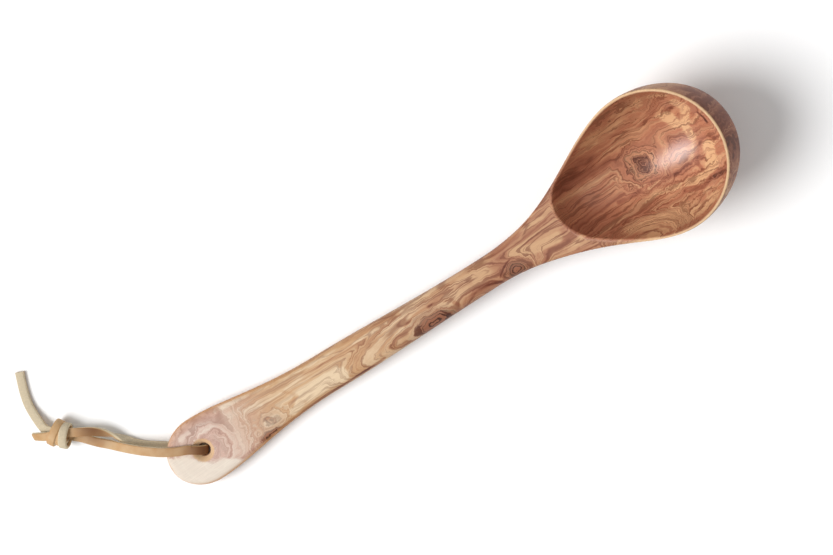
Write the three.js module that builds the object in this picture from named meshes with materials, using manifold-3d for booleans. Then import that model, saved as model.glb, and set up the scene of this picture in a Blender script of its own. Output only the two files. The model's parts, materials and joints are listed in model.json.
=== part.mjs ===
// Wooden ladle with a leather hanging thong, lying on a flat surface.
// Millimetres, +Z up, +X from the handle's end towards the tip of the bowl.
import * as THREE from 'three';
import { mergeVertices } from 'three/addons/utils/BufferGeometryUtils.js';
import Module from 'manifold-3d';

// Side view: the top line runs level along the paddle, bends up into the handle
// and sweeps up again through the neck to the straight rim of the bowl.
const PADDLE_LENGTH = 52;
const PADDLE_BEND = 20;
const HANDLE_LENGTH = 138;
const NECK_BEND = 82;
const RIM_LENGTH = 58;
const NECK_SWEEP = THREE.MathUtils.degToRad(18.9);

// Top view: widths, and where along the top line each of them lies.
const PADDLE_WIDTH = 35.4;
const PADDLE_WIDEST = 21;
const GRIP_WIDTH = 20.9;
const GRIP_FROM_END = 100;
const NECK_WIDTH = 16.4;
const NECK_FROM_END = 203;
const BOWL_WIDTH = 71;
const BOWL_FROM_TIP = 40.5;

// Seen from above the handle bows to one side as it grew, and the bowl is set back from that.
const HANDLE_BOW = 2.6;
const BOWL_SETBACK = 2.1;
const SETBACK_START = 230;
const SETBACK_END = 282;

// Thicknesses below the top line, square to it, and the paddle's level underside.
const PADDLE_THICKNESS = 7.8;
const PADDLE_LEVEL = 39;
const GRIP_THICKNESS = 12.8;
const NECK_THICKNESS = 14;
const BOWL_DEPTH = 45;

// How far each curve holds its first and its last direction, as shares of its run.
const PADDLE_TO_GRIP = [0.28, 0.5];
const GRIP_TO_NECK = [0.35, 0.4];
const NECK_TO_BOWL = [0.48, 0.28];
const UNDER_PADDLE_TO_GRIP = [0.27, 0.37];
const UNDER_NECK_TO_BOWL = [0.42, 0.4];

// Rounding of the edges, and fullness of the underside: 2 is an ellipse, more is squarer.
const PADDLE_EDGE = 3;
const PADDLE_END_EDGE = 4.8;
const HANDLE_EDGE = 5;
const RIM_EDGE = 0.7;
const HANDLE_FULLNESS = 2.6;
const BOWL_FULLNESS = 2.1;

// Hollow of the bowl. Its neck end is cut a little to one side, as a hand tool leaves it.
const RIM_WALL = 1.5;
const BOTTOM_WALL = 6;
const HOLLOW_FROM_TIP = 100;
const HOLLOW_TAPER = 1.55;
const HOLLOW_SKEW = 4.8;
const SKEW_FADE = 4;

// Leather thong: one flat lace, looped through the paddle and knotted on itself.
const THONG_WIDTH = 4.7;
const THONG_THICKNESS = 2;
const THONG_CORNER = 0.45;
const THONG_TURN = THREE.MathUtils.degToRad(143.5);
const SEAT_GAP = 0.3;
const FLOOR_GAP = 0.05;

// Hanging hole, which clears the lace, with a countersink on both faces of the paddle.
const HOLE_FROM_END = 21.5;
const HOLE_CLEARANCE = 1.7;
const COUNTERSINK_DIAMETER = 12;
const COUNTERSINK_DEPTH = 2.8;

// Knot, measured from the axis of the hanging hole: two leaning turns over a core.
const KNOT_FROM_HOLE = 80;
const KNOT_WIDTH = 13.6;
const KNOT_HEIGHT = 11.4;
const WRAP_SPACING = 4.9;
const WRAP_LEAN = 0.22;
const CORE_BULGE = 0.6;
const CORE_SINK = 0.4;

// Fineness of the facets.
const CURVE_POINTS = 160;
const STEEPEST_SLOPE = THREE.MathUtils.degToRad(20);
const SLOPE_HALVINGS = 30;
const BODY_STATIONS = 80;
const HOLLOW_STATIONS = 40;
const TOP_STEPS = 3;
const EDGE_STEPS = 4;
const UNDERSIDE_STEPS = 10;
const HOLLOW_STEPS = 18;
const HOLE_STEPS = 32;
const LACE_STEP = 3.2;
const BIGHT_STEPS = 8;
const WRAP_STEPS = 28;
const CORE_STEPS = [20, 14];
const CUT_OVERSHOOT = 1;
const WELD = 1e-3;

const LENGTH = PADDLE_LENGTH + PADDLE_BEND + HANDLE_LENGTH + NECK_BEND + RIM_LENGTH;
const QUARTER = Math.PI / 2;
const widestBowl = LENGTH - BOWL_FROM_TIP;
const hollowStart = LENGTH - HOLLOW_FROM_TIP;
const { lerp: mix, smoothstep: ease } = THREE.MathUtils;

// The top line at a station. Each stretch has its length and the angle it turns through.
function topLineAt(station, handleSlope) {
  const stretches = [
    [PADDLE_LENGTH, 0],
    [PADDLE_BEND, handleSlope],
    [HANDLE_LENGTH, 0],
    [NECK_BEND, NECK_SWEEP],
    [RIM_LENGTH, 0],
  ];
  let x = 0;
  let z = 0;
  let angle = 0;
  let left = station;
  for (const [length, turn] of stretches) {
    const run = Math.min(left, length);
    const swung = (turn * run) / length;
    if (turn === 0) {
      x += run * Math.cos(angle);
      z += run * Math.sin(angle);
    } else {
      const radius = length / turn;
      x += radius * (Math.sin(angle + swung) - Math.sin(angle));
      z += radius * (Math.cos(angle) - Math.cos(angle + swung));
    }
    angle += swung;
    left -= run;
  }
  return { x, z, angle };
}

// A curve to a new place and height, level at both of its ends.
function levelCurve(path, x, y, [holdFirst, holdLast]) {
  const from = path.currentPoint.clone();
  const run = x - from.x;
  path.bezierCurveTo(from.x + holdFirst * run, from.y, x - holdLast * run, y, x, y);
}

// The height of a drawn curve at any place along it.
function readCurve(path) {
  const points = path.getPoints(CURVE_POINTS);
  return (station) => {
    const after = points.findIndex((point) => point.x >= station);
    if (after < 0) return points[points.length - 1].y;
    if (after === 0) return points[0].y;
    const [from, to] = [points[after - 1], points[after]];
    return mix(from.y, to.y, (station - from.x) / (to.x - from.x));
  };
}

// Half of the outline, seen square to the top line.
function drawOutline() {
  const path = new THREE.Path();
  path.moveTo(0, 0);
  path.absellipse(PADDLE_WIDEST, 0, PADDLE_WIDEST, PADDLE_WIDTH / 2, Math.PI, QUARTER, true, 0);
  levelCurve(path, GRIP_FROM_END, GRIP_WIDTH / 2, PADDLE_TO_GRIP);
  levelCurve(path, NECK_FROM_END, NECK_WIDTH / 2, GRIP_TO_NECK);
  levelCurve(path, widestBowl, BOWL_WIDTH / 2, NECK_TO_BOWL);
  path.absellipse(widestBowl, 0, BOWL_FROM_TIP, BOWL_WIDTH / 2, QUARTER, 0, true, 0);
  return path;
}

// Depth of the underside below the top line.
function drawUnderside() {
  const path = new THREE.Path();
  path.moveTo(0, PADDLE_THICKNESS);
  path.lineTo(PADDLE_LEVEL, PADDLE_THICKNESS);
  levelCurve(path, GRIP_FROM_END, GRIP_THICKNESS, UNDER_PADDLE_TO_GRIP);
  levelCurve(path, NECK_FROM_END, NECK_THICKNESS, GRIP_TO_NECK);
  levelCurve(path, widestBowl, BOWL_DEPTH, UNDER_NECK_TO_BOWL);
  path.absellipse(widestBowl, RIM_EDGE, BOWL_FROM_TIP, BOWL_DEPTH - RIM_EDGE, QUARTER, 0, true, 0);
  return path;
}

const outline = drawOutline();
const halfWidthAt = readCurve(outline);
const depthAt = readCurve(drawUnderside());

// How far the middle of a section lies to the side of the paddle's.
function sideAt(station) {
  const bow = HANDLE_BOW * ease(station, PADDLE_WIDEST, NECK_FROM_END);
  return BOWL_SETBACK * ease(station, SETBACK_START, SETBACK_END) - bow;
}

// The lowest point of the underside between two stations, for a slope of the handle.
function lowest(from, to, handleSlope) {
  let least = Infinity;
  for (let i = 0; i <= CURVE_POINTS; i += 1) {
    const station = mix(from, to, i / CURVE_POINTS);
    const { z, angle } = topLineAt(station, handleSlope);
    least = Math.min(least, z - depthAt(station) * Math.cos(angle));
  }
  return least;
}

// The slope at which the grip's belly and the bowl rest on the same surface.
function restingSlope() {
  let flat = 0;
  let steep = STEEPEST_SLOPE;
  for (let i = 0; i < SLOPE_HALVINGS; i += 1) {
    const slope = (flat + steep) / 2;
    const bowl = lowest(NECK_FROM_END, LENGTH, slope);
    const belly = lowest(0, NECK_FROM_END, slope);
    if (bowl > belly) steep = slope;
    else flat = slope;
  }
  return (flat + steep) / 2;
}

const HANDLE_SLOPE = restingSlope();

function edgeAt(station) {
  const alongHandle = mix(PADDLE_EDGE, HANDLE_EDGE, ease(station, PADDLE_LENGTH, GRIP_FROM_END));
  return mix(alongHandle, RIM_EDGE, ease(station, NECK_FROM_END, hollowStart));
}

// A quarter round, 0 at the end and 1 once past the reach.
function quarterRound(distance, reach) {
  const back = Math.max(0, 1 - distance / reach);
  return Math.sqrt(1 - back * back);
}

// A point on a quarter of a full round: across and down, each from 0 to 1.
function fullRound(turn, fullness) {
  return [Math.abs(Math.cos(turn)) ** (2 / fullness), Math.sin(turn) ** (2 / fullness)];
}

// A cross-section: flat top, rounded shoulders and a full round underside.
function bodySection(station, halfWidth) {
  const edge = edgeAt(station);
  const across = Math.min(edge, halfWidth);
  const fullness = mix(HANDLE_FULLNESS, BOWL_FULLNESS, ease(station, NECK_FROM_END, widestBowl));
  const end = Math.min(quarterRound(station, PADDLE_EDGE), quarterRound(LENGTH - station, RIM_EDGE));
  const top = -edge * (1 - end);
  const bottom = mix(-edge, -depthAt(station), quarterRound(station, PADDLE_END_EDGE));
  const half = [];
  for (let i = 0; i < TOP_STEPS; i += 1) {
    half.push([(halfWidth - across) * (i / TOP_STEPS), top]);
  }
  for (let i = 0; i < EDGE_STEPS; i += 1) {
    const turn = (i / EDGE_STEPS) * QUARTER;
    half.push([halfWidth - across * (1 - Math.sin(turn)), mix(-edge, top, Math.cos(turn))]);
  }
  for (let i = 0; i < UNDERSIDE_STEPS; i += 1) {
    const [y, down] = fullRound((i / UNDERSIDE_STEPS) * QUARTER, fullness);
    half.push([halfWidth * y, mix(-edge, bottom, down)]);
  }
  const mirrored = half.slice(1).reverse().map(([y, n]) => [-y, n]);
  return [...half, [0, bottom], ...mirrored];
}

// Points of a section, placed square to the top line.
function placeSection(station, section) {
  const { x, z, angle } = topLineAt(station, HANDLE_SLOPE);
  const [sine, cosine] = [Math.sin(angle), Math.cos(angle)];
  const side = sideAt(station);
  return section.map(([y, n]) => new THREE.Vector3(x - n * sine, side + y, z + n * cosine));
}

// Shared corners become one vertex, and triangles without area go.
function closed(points, indices) {
  const geometry = new THREE.BufferGeometry().setFromPoints(points);
  geometry.setIndex(indices);
  const merged = mergeVertices(geometry, WELD);
  const index = merged.getIndex().array;
  const kept = [];
  for (let i = 0; i < index.length; i += 3) {
    const [a, b, c] = [index[i], index[i + 1], index[i + 2]];
    if (a !== b && b !== c && c !== a) kept.push(a, b, c);
  }
  merged.setIndex(kept);
  return merged;
}

// Two triangles for each step round from one ring to the next.
function ringFaces(from, to, size) {
  const faces = [];
  for (let i = 0; i < size; i += 1) {
    const j = (i + 1) % size;
    const [a, b, c, d] = [from * size + i, from * size + j, to * size + i, to * size + j];
    faces.push(a, c, b, b, c, d);
  }
  return faces;
}

// A closed skin over a row of rings with the same number of points, flat at both ends.
function skin(rings) {
  const points = rings.flat();
  const size = rings[0].length;
  const last = rings.length - 1;
  const indices = [];
  for (let r = 0; r < last; r += 1) indices.push(...ringFaces(r, r + 1, size));
  for (const r of [0, last]) {
    const centre = new THREE.Vector3();
    for (const point of rings[r]) centre.addScaledVector(point, 1 / size);
    for (let i = 0; i < size; i += 1) {
      const pair = [r * size + i, r * size + ((i + 1) % size)];
      indices.push(points.length, ...(r === 0 ? pair : pair.reverse()));
    }
    points.push(centre);
  }
  return closed(points, indices);
}

// A closed skin over rings that come back to the first one.
function loopSkin(rings) {
  const size = rings[0].length;
  const indices = rings.flatMap((_, r) => ringFaces(r, (r + 1) % rings.length, size));
  return closed(rings.flat(), indices);
}

const wasm = await Module();
wasm.setup();

function solid(geometry) {
  const bare = geometry.clone();
  for (const name of ['normal', 'uv']) bare.deleteAttribute(name);
  const merged = mergeVertices(bare, WELD);
  return new wasm.Manifold(new wasm.Mesh({
    numProp: 3,
    vertProperties: Float32Array.from(merged.getAttribute('position').array),
    triVerts: Uint32Array.from(merged.getIndex().array),
  }));
}

function surface(manifold) {
  const mesh = manifold.getMesh();
  const geometry = new THREE.BufferGeometry();
  geometry.setAttribute('position', new THREE.BufferAttribute(mesh.vertProperties, 3));
  geometry.setIndex(new THREE.BufferAttribute(mesh.triVerts, 1));
  return geometry;
}

// The ladle as it is carved on the outside, before it is hollowed.
function bodyBlank() {
  const points = outline.getSpacedPoints(BODY_STATIONS);
  const rings = points.map(({ x, y }) => placeSection(x, bodySection(x, Math.max(y, 0))));
  return skin(rings);
}

// The hollow, closed above the rim so that it cuts clean through.
function hollowCutter() {
  const end = LENGTH - RIM_WALL;
  const widest = BOWL_WIDTH / 2 - RIM_WALL;
  const share = 1 - BOTTOM_WALL / BOWL_DEPTH;
  const rings = [];
  for (let i = 0; i <= HOLLOW_STATIONS; i += 1) {
    const part = (1 - Math.cos((i / HOLLOW_STATIONS) * Math.PI)) / 2;
    const station = mix(hollowStart, end, part);
    const back = Math.max(0, (widestBowl - station) / (widestBowl - hollowStart));
    const front = Math.max(0, (station - widestBowl) / (end - widestBowl));
    const oval = Math.sqrt(Math.max(0, 1 - back ** HOLLOW_TAPER - front ** 2));
    const dip = Math.sqrt(Math.max(0, 1 - back ** 2 - front ** 2));
    const aside = HOLLOW_SKEW * back ** SKEW_FADE;
    const room = Math.max(0, halfWidthAt(station) - RIM_WALL - aside);
    const halfWidth = Math.min(widest * oval, room);
    const depth = share * Math.min(BOWL_DEPTH * dip, depthAt(station));
    const section = [];
    for (let k = 0; k <= HOLLOW_STEPS; k += 1) {
      const turn = (k / HOLLOW_STEPS) * Math.PI;
      const [y, down] = fullRound(turn, BOWL_FULLNESS);
      section.push([aside + Math.sign(Math.cos(turn)) * halfWidth * y, -depth * down]);
    }
    section.push([aside - halfWidth, BOWL_DEPTH], [aside + halfWidth, BOWL_DEPTH]);
    rings.push(placeSection(station, section));
  }
  return skin(rings);
}

function holeCutter() {
  const hole = (THONG_WIDTH + HOLE_CLEARANCE) / 2;
  const mouth = COUNTERSINK_DIAMETER / 2;
  const flared = mouth + ((mouth - hole) / COUNTERSINK_DEPTH) * CUT_OVERSHOOT;
  const profile = [
    [0, -PADDLE_THICKNESS - CUT_OVERSHOOT],
    [flared, -PADDLE_THICKNESS - CUT_OVERSHOOT],
    [hole, -PADDLE_THICKNESS + COUNTERSINK_DEPTH],
    [hole, -COUNTERSINK_DEPTH],
    [flared, CUT_OVERSHOOT],
    [0, CUT_OVERSHOOT],
  ].map(([r, z]) => new THREE.Vector2(r, z));
  const geometry = new THREE.LatheGeometry(profile, HOLE_STEPS);
  geometry.rotateX(QUARTER);
  geometry.translate(HOLE_FROM_END, 0, 0);
  return geometry;
}

const blank = solid(bodyBlank());
const body = surface(blank.subtract(solid(hollowCutter())).subtract(solid(holeCutter())));
body.computeBoundingBox();
const box = body.boundingBox;

// Heights above the surface that the ladle lies on.
const halfLace = THONG_WIDTH / 2;
const halfThick = THONG_THICKNESS / 2;
const paddleTop = -box.min.z;
const paddleMiddle = paddleTop - PADDLE_THICKNESS / 2;
const overPaddle = paddleTop + SEAT_GAP + halfThick;
const onFloor = FLOOR_GAP + halfThick;

// The lace's section: its width along the first axis, its grain side along the second.
const LACE_SECTION = [
  [halfLace, -halfThick + THONG_CORNER],
  [halfLace, halfThick - THONG_CORNER],
  [halfLace - THONG_CORNER, halfThick],
  [-halfLace + THONG_CORNER, halfThick],
  [-halfLace, halfThick - THONG_CORNER],
  [-halfLace, -halfThick + THONG_CORNER],
  [-halfLace + THONG_CORNER, -halfThick],
  [halfLace - THONG_CORNER, -halfThick],
];

// One ring of the lace at a point, with its run and the way its grain side faces.
function laceRing(point, run, facing) {
  const across = new THREE.Vector3().crossVectors(run, facing).normalize();
  const grain = new THREE.Vector3().crossVectors(across, run).normalize();
  return LACE_SECTION.map(([w, t]) => (
    point.clone().addScaledVector(across, w).addScaledVector(grain, t)
  ));
}

// A stretch of lace through route points: along the thong, across it, up, and the turn of
// the grain side from facing up, in degrees.
function lace(route) {
  const points = route.map(([along, across, up]) => new THREE.Vector3(along, across, up));
  const facings = route.map(([, , , turn]) => {
    const angle = THREE.MathUtils.degToRad(turn);
    return new THREE.Vector3(0, Math.sin(angle), Math.cos(angle));
  });
  const path = new THREE.CatmullRomCurve3(points, false, 'centripetal');
  const steps = Math.ceil(path.getLength() / LACE_STEP);
  const rings = [];
  for (let i = 0; i <= steps; i += 1) {
    const part = i / steps;
    const along = path.getUtoTmapping(part) * (route.length - 1);
    const from = Math.min(Math.floor(along), route.length - 2);
    const facing = facings[from].clone().lerp(facings[from + 1], along - from);
    rings.push(laceRing(path.getPointAt(part), path.getTangentAt(part), facing));
  }
  return skin(rings);
}

// The bight: the lace comes off the paddle's top, drops through the hole and leaves below it.
function bight() {
  const rings = [];
  for (let i = -BIGHT_STEPS; i <= BIGHT_STEPS; i += 1) {
    const angle = (i / BIGHT_STEPS) * QUARTER;
    const radius = i < 0 ? overPaddle - paddleMiddle : paddleMiddle - onFloor;
    const out = new THREE.Vector3(-Math.cos(angle), 0, -Math.sin(angle));
    const run = new THREE.Vector3(Math.sin(angle), 0, -Math.cos(angle));
    const centre = new THREE.Vector3(radius, 0, paddleMiddle);
    rings.push(laceRing(centre.addScaledVector(out, radius), run, out));
  }
  return skin(rings);
}

// One turn of the lace round the knot, leaning with the lie of the knot.
function wrap(place, halfAcross, halfUp, middle) {
  const rings = [];
  for (let i = 0; i < WRAP_STEPS; i += 1) {
    const angle = (i / WRAP_STEPS) * 2 * Math.PI;
    const [c, s] = [Math.cos(angle), Math.sin(angle)];
    const lean = WRAP_LEAN * halfAcross;
    const point = new THREE.Vector3(place + lean * c, halfAcross * c, middle + halfUp * s);
    const run = new THREE.Vector3(-lean * s, -halfAcross * s, halfUp * c).normalize();
    rings.push(laceRing(point, run, new THREE.Vector3(0, c / halfAcross, s / halfUp)));
  }
  return loopSkin(rings);
}

const coreReach = WRAP_SPACING / 2 + halfLace + CORE_BULGE;

function knot() {
  const halfAcross = KNOT_WIDTH / 2 - halfThick;
  const halfUp = KNOT_HEIGHT / 2 - halfThick;
  const middle = FLOOR_GAP + KNOT_HEIGHT / 2;
  const core = new THREE.SphereGeometry(1, ...CORE_STEPS);
  core.scale(coreReach, halfAcross - CORE_SINK, halfUp - CORE_SINK);
  core.translate(KNOT_FROM_HOLE, 0, middle);
  const near = wrap(KNOT_FROM_HOLE - WRAP_SPACING / 2, halfAcross, halfUp, middle);
  const far = wrap(KNOT_FROM_HOLE + WRAP_SPACING / 2, halfAcross, halfUp, middle);
  return surface(solid(core).add(solid(near)).add(solid(far)));
}

// Routes of the free stretches, from the hole outwards.
const intoKnot = KNOT_FROM_HOLE - coreReach - 2 * SEAT_GAP;
const outOfKnot = KNOT_FROM_HOLE + coreReach + 2 * SEAT_GAP;
const OVER_ROUTE = [
  [overPaddle - paddleMiddle + SEAT_GAP, 0, overPaddle, 0],
  [6.8, 0, overPaddle, 0],
  [9.5, 0.9, overPaddle, 0],
  [13, 2.2, overPaddle, 0],
  [17, 2.7, overPaddle, 0],
  [21, 2.9, overPaddle - 0.2, 0],
  [25, 3.2, 11, 0],
  [34, 3.6, 9.4, 0],
  [43, 3.4, 7.6, 0],
  [52, 2.8, 5.9, 0],
  [58.4, 2.5, 4.9, 0],
  [63.6, 1.9, 4.2, 0],
  [68.8, 1.1, 3.6, 0],
  [intoKnot, 0.8, 3.3, 0],
];
const UNDER_ROUTE = [
  [paddleMiddle - onFloor + SEAT_GAP, 0, onFloor, 180],
  [9.5, 0.3, onFloor, 180],
  [15, 1.2, onFloor, 180],
  [21, 1.9, onFloor, 180],
  [28.6, 2.4, onFloor, 180],
  [36, 2.5, onFloor + 0.1, 178],
  [41, 1.6, onFloor + 0.75, 160],
  [45, 0.2, 2.7, 125],
  [49, -1.2, 3.1, 90],
  [53.8, -2.4, 4.1, 50],
  [58.3, -3.2, 5.2, 20],
  [63, -3.3, 6.2, 5],
  [67.6, -2.8, 6.9, 0],
  [intoKnot, -1.7, 7.1, 0],
];
const LONG_END_ROUTE = [
  [outOfKnot, -1, 4.6, 180],
  [89.2, -2, 4.2, 180],
  [93.3, -5.6, 2.8, 180],
  [97.2, -10.2, 1.7, 180],
  [99.9, -14.7, onFloor + 0.25, 180],
  [102.2, -21, onFloor + 0.05, 180],
  [104.5, -30.5, onFloor + 0.05, 180],
];
const SHORT_END_ROUTE = [
  [outOfKnot, 1.1, 7.2, 0],
  [88.8, 1.6, 7, 0],
  [93.4, 2.2, 6.2, 0],
];

const OLIVE_WOOD = { color: 0xb98355, roughness: 0.45, metalness: 0 };
const GRAIN_LEATHER = { color: 0xc08d5c, roughness: 0.7, metalness: 0 };
const FLESH_LEATHER = { color: 0xd3c2a0, roughness: 0.95, metalness: 0 };

function part(name, geometry, finish) {
  const mesh = new THREE.Mesh(geometry, new THREE.MeshStandardMaterial(finish));
  mesh.name = name;
  return mesh;
}

const thong = new THREE.Group();
thong.position.set(HOLE_FROM_END, 0, box.min.z);
thong.rotation.z = THONG_TURN;
thong.add(
  part('thong_bight', bight(), GRAIN_LEATHER),
  part('thong_over_strand', lace(OVER_ROUTE), GRAIN_LEATHER),
  part('thong_under_strand', lace(UNDER_ROUTE), GRAIN_LEATHER),
  part('thong_knot', knot(), GRAIN_LEATHER),
  part('thong_long_end', lace(LONG_END_ROUTE), FLESH_LEATHER),
  part('thong_short_end', lace(SHORT_END_ROUTE), GRAIN_LEATHER),
);

const group = new THREE.Group();
group.add(part('ladle_body', body, OLIVE_WOOD), thong);
group.position.set(-(box.min.x + box.max.x) / 2, -(box.min.y + box.max.y) / 2, paddleTop);

export default group;
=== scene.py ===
"""Looks of the olive-wood ladle and its leather thong, made round the packed part in a white studio."""

import json
import math

import bmesh
import bpy
import numpy as np
from bpy.props import FloatProperty, FloatVectorProperty, PointerProperty
from mathutils import Matrix, Vector


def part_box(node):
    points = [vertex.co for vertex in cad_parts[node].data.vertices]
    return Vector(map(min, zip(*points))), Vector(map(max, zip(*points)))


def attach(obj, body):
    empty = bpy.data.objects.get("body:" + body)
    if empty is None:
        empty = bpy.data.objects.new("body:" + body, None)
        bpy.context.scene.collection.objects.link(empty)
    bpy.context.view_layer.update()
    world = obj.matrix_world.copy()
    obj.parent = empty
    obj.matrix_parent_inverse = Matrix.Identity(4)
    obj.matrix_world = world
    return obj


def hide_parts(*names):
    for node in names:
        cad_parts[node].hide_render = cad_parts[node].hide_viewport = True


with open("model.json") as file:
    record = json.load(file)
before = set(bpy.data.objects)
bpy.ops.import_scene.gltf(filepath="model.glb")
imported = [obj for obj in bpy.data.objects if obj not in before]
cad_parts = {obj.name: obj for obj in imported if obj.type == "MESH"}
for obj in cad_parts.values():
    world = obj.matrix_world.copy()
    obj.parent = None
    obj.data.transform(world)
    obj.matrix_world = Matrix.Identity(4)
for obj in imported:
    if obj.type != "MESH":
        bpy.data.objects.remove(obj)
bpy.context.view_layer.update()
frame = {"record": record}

bl_info = {
    "name": "Olive-wood ladle",
    "version": (1, 0, 0),
    "blender": (4, 5, 0),
    "location": "3D View > Sidebar > Ladle",
    "description": "Carved ladle body, leather thong and white studio round the packed part",
    "category": "Object",
}

MM = 0.001
QUARTER = math.pi / 2

# From the packed part: the axis of the hanging hole and the height of the paddle's face.
HOLE = Vector(frame["record"]["behaviour"]["joints"][0]["pos_m"]) / MM
PADDLE_TOP = frame["record"]["mounts"][0]["pos_m"][2] / MM

# Stations along the ladle's top line from the handle's end, in millimetres.
PADDLE_LENGTH = 52
PADDLE_BEND = 20
HANDLE_LENGTH = 138
NECK_BEND = 82
RIM_LENGTH = 58
LENGTH = PADDLE_LENGTH + PADDLE_BEND + HANDLE_LENGTH + NECK_BEND + RIM_LENGTH
PADDLE_WIDEST = 21
PADDLE_LEVEL = 39
GRIP_FROM_END = 100
NECK_FROM_END = 203
BOWL_FROM_TIP = 40.5
WIDEST_BOWL = LENGTH - BOWL_FROM_TIP
HOLLOW_FROM_TIP = 100
HOLLOW_START = LENGTH - HOLLOW_FROM_TIP
HOLE_FROM_END = 21.5

# The neck's upward sweep, and how far the handle bows aside and the bowl is set back from it.
NECK_SWEEP = math.radians(18.9)
STEEPEST_SLOPE = math.radians(20)
HANDLE_BOW = 2.6
BOWL_SETBACK = 2.1
SETBACK_RUN = (230, 282)

# How far each curve holds its first and its last direction, as shares of its run.
PADDLE_TO_GRIP = (0.28, 0.5)
GRIP_TO_NECK = (0.35, 0.4)
NECK_TO_BOWL = (0.48, 0.28)
UNDER_PADDLE_TO_GRIP = (0.27, 0.37)
UNDER_NECK_TO_BOWL = (0.42, 0.4)

# Roundings, in millimetres, and fullness of the underside: 2 is an ellipse, more is squarer.
PADDLE_EDGE = 3
PADDLE_END_EDGE = 4.8
HANDLE_EDGE = 5
HANDLE_FULLNESS = 2.6
BOWL_FULLNESS = 2.1

# The hollow's neck end: its taper, and how far it is cut to one side.
HOLLOW_TAPER = 1.55
HOLLOW_SKEW = 4.8
SKEW_FADE = 4

# Fineness of the carved body's mesh, and steps for each millimetre of its top line.
BODY_STATIONS = 260
HOLLOW_STATIONS = 110
CURVE_POINTS = 200
TOP_STEPS = 5
EDGE_STEPS = 8
UNDERSIDE_STEPS = 26
HOLLOW_STEPS = 60
HOLE_STEPS = 72
RUN_STEPS = 8
# Rounds that close in on the handle's slope, and on the station of a point.
SLOPE_ROUNDS = 30
STATION_ROUNDS = 5
# Points of a skin that are nearer than this are one, and thinner slivers go, in metres.
WELD = 1e-6
SLIVER = 1e-7
# How the remeshed body is smoothed.
SMOOTH_FACTOR = 0.5
SMOOTH_ROUNDS = 3

# The thong's lie: its turn about the hole, gaps to the paddle and the floor, and the knot's height.
THONG_TURN = math.radians(143.5)
SEAT_GAP = 0.3
FLOOR_GAP = 0.05
KNOT_MIDDLE = 5.75


def title(key):
    """A property's name as the panel shows it."""
    return key.replace("_", " ").capitalize()


def lengths(*rows):
    """Length properties from rows of key, description and default in millimetres."""
    kind = {"unit": "LENGTH", "subtype": "DISTANCE", "precision": 5}
    return {
        key: FloatProperty(name=title(key), description=text, default=size * MM, **kind)
        for key, text, size in rows
    }


def colours(*rows):
    """Colour properties from rows of key, description and sRGB hex default."""
    kind = {"subtype": "COLOR", "size": 4, "min": 0, "max": 1}
    return {
        key: FloatVectorProperty(name=title(key), description=text, default=linear(code), **kind)
        for key, text, code in rows
    }


def linear(code):
    """Linear RGBA of an sRGB hex colour such as #C89A66."""
    shares = [int(code[i : i + 2], 16) / 255 for i in (1, 3, 5)]
    return tuple(s / 12.92 if s <= 0.04045 else ((s + 0.055) / 1.055) ** 2.4 for s in shares) + (1.0,)


class LadleBodySizes(bpy.types.PropertyGroup):
    """Sizes of the carved body."""

    __annotations__ = lengths(
        ("paddle_width", "Widest part of the handle's end", 35.4),
        ("grip_width", "Width of the handle at the grip", 20.9),
        ("neck_width", "Narrowest width before the bowl", 16.4),
        ("bowl_width", "Outer width of the bowl", 71),
        ("paddle_thickness", "Thickness of the handle's end", 7.8),
        ("grip_thickness", "Thickness of the handle at the grip", 12.8),
        ("neck_thickness", "Thickness before the bowl", 14),
        ("bowl_depth", "Outer depth of the bowl, square to its rim", 45),
        ("rim_wall", "Wall of the bowl at its rim", 1.5),
        ("rim_edge", "Rounding of the rim", 0.7),
        ("bottom_wall", "Wall at the bottom of the bowl", 6),
        ("hole", "Diameter of the hanging hole", 6.4),
        ("countersink", "Diameter of the countersink at the face", 12),
        ("countersink_depth", "Depth of the countersink", 2.8),
        ("voxel", "Cell of the remesh that softens the carved edges", 0.74),
    )


class OliveWoodFinish(bpy.types.PropertyGroup):
    """Colours of the olive wood, from its pale layers to its dark lines."""

    __annotations__ = colours(
        ("cream", "Palest rings of the handle", "#D6BD9C"),
        ("tan", "Common rings of the handle", "#BD956E"),
        ("amber", "Warm rings of the handle", "#B0835F"),
        ("neck_tan", "Palest rings of the neck", "#BF9671"),
        ("neck_amber", "Common rings of the neck", "#AA7A5B"),
        ("neck_deep", "Warm rings of the neck", "#97634A"),
        ("gold", "Palest rings of the bowl", "#DDB085"),
        ("bowl_amber", "Common rings of the bowl", "#BC7F60"),
        ("bowl_deep", "Deep rings of the bowl", "#A0654D"),
        ("brown", "Late wood and lines", "#703D2B"),
        ("knot", "Pale rings of the knots", "#8E5B44"),
        ("dark", "Dark rings of the knots", "#3C2019"),
        ("lilac", "Common rings of the handle's end", "#C5A495"),
        ("lilac_shade", "Deep rings of the handle's end", "#AE8B81"),
        ("sapwood", "Pale corner of the handle's end", "#DDD1C2"),
        # Painted shade on the rounded edges, also a tint on the end's upper edge and the countersink's
        # border
        ("edge", "Oiled edges of the handle", "#BF8A58"),
        ("rim", "Worn rim of the bowl", "#D8B68E"),
    )


class ThongFinish(bpy.types.PropertyGroup):
    """Sizes and colours of the leather lace."""

    __annotations__ = {
        **lengths(
            ("width", "Width of the lace", 4.7),
            ("thickness", "Thickness of the lace", 2),
            ("corner", "Rounding of the cut edges", 0.45),
            ("step", "Distance between sections along the lace", 0.6),
        ),
        **colours(
            ("grain", "Tanned outer side", "#C6A57C"),
            ("shade", "Darker patches of the grain side", "#B88B5A"),
            # Painted shade of the grain side, round the hole and beside the knot.
            ("worn", "Grain side where it rubs", "#62330F"),
            ("flesh", "Suede inner side", "#C9BA9F"),
            ("cut", "Raw edge of the lace", "#D4C5A6"),
        ),
    }


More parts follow.
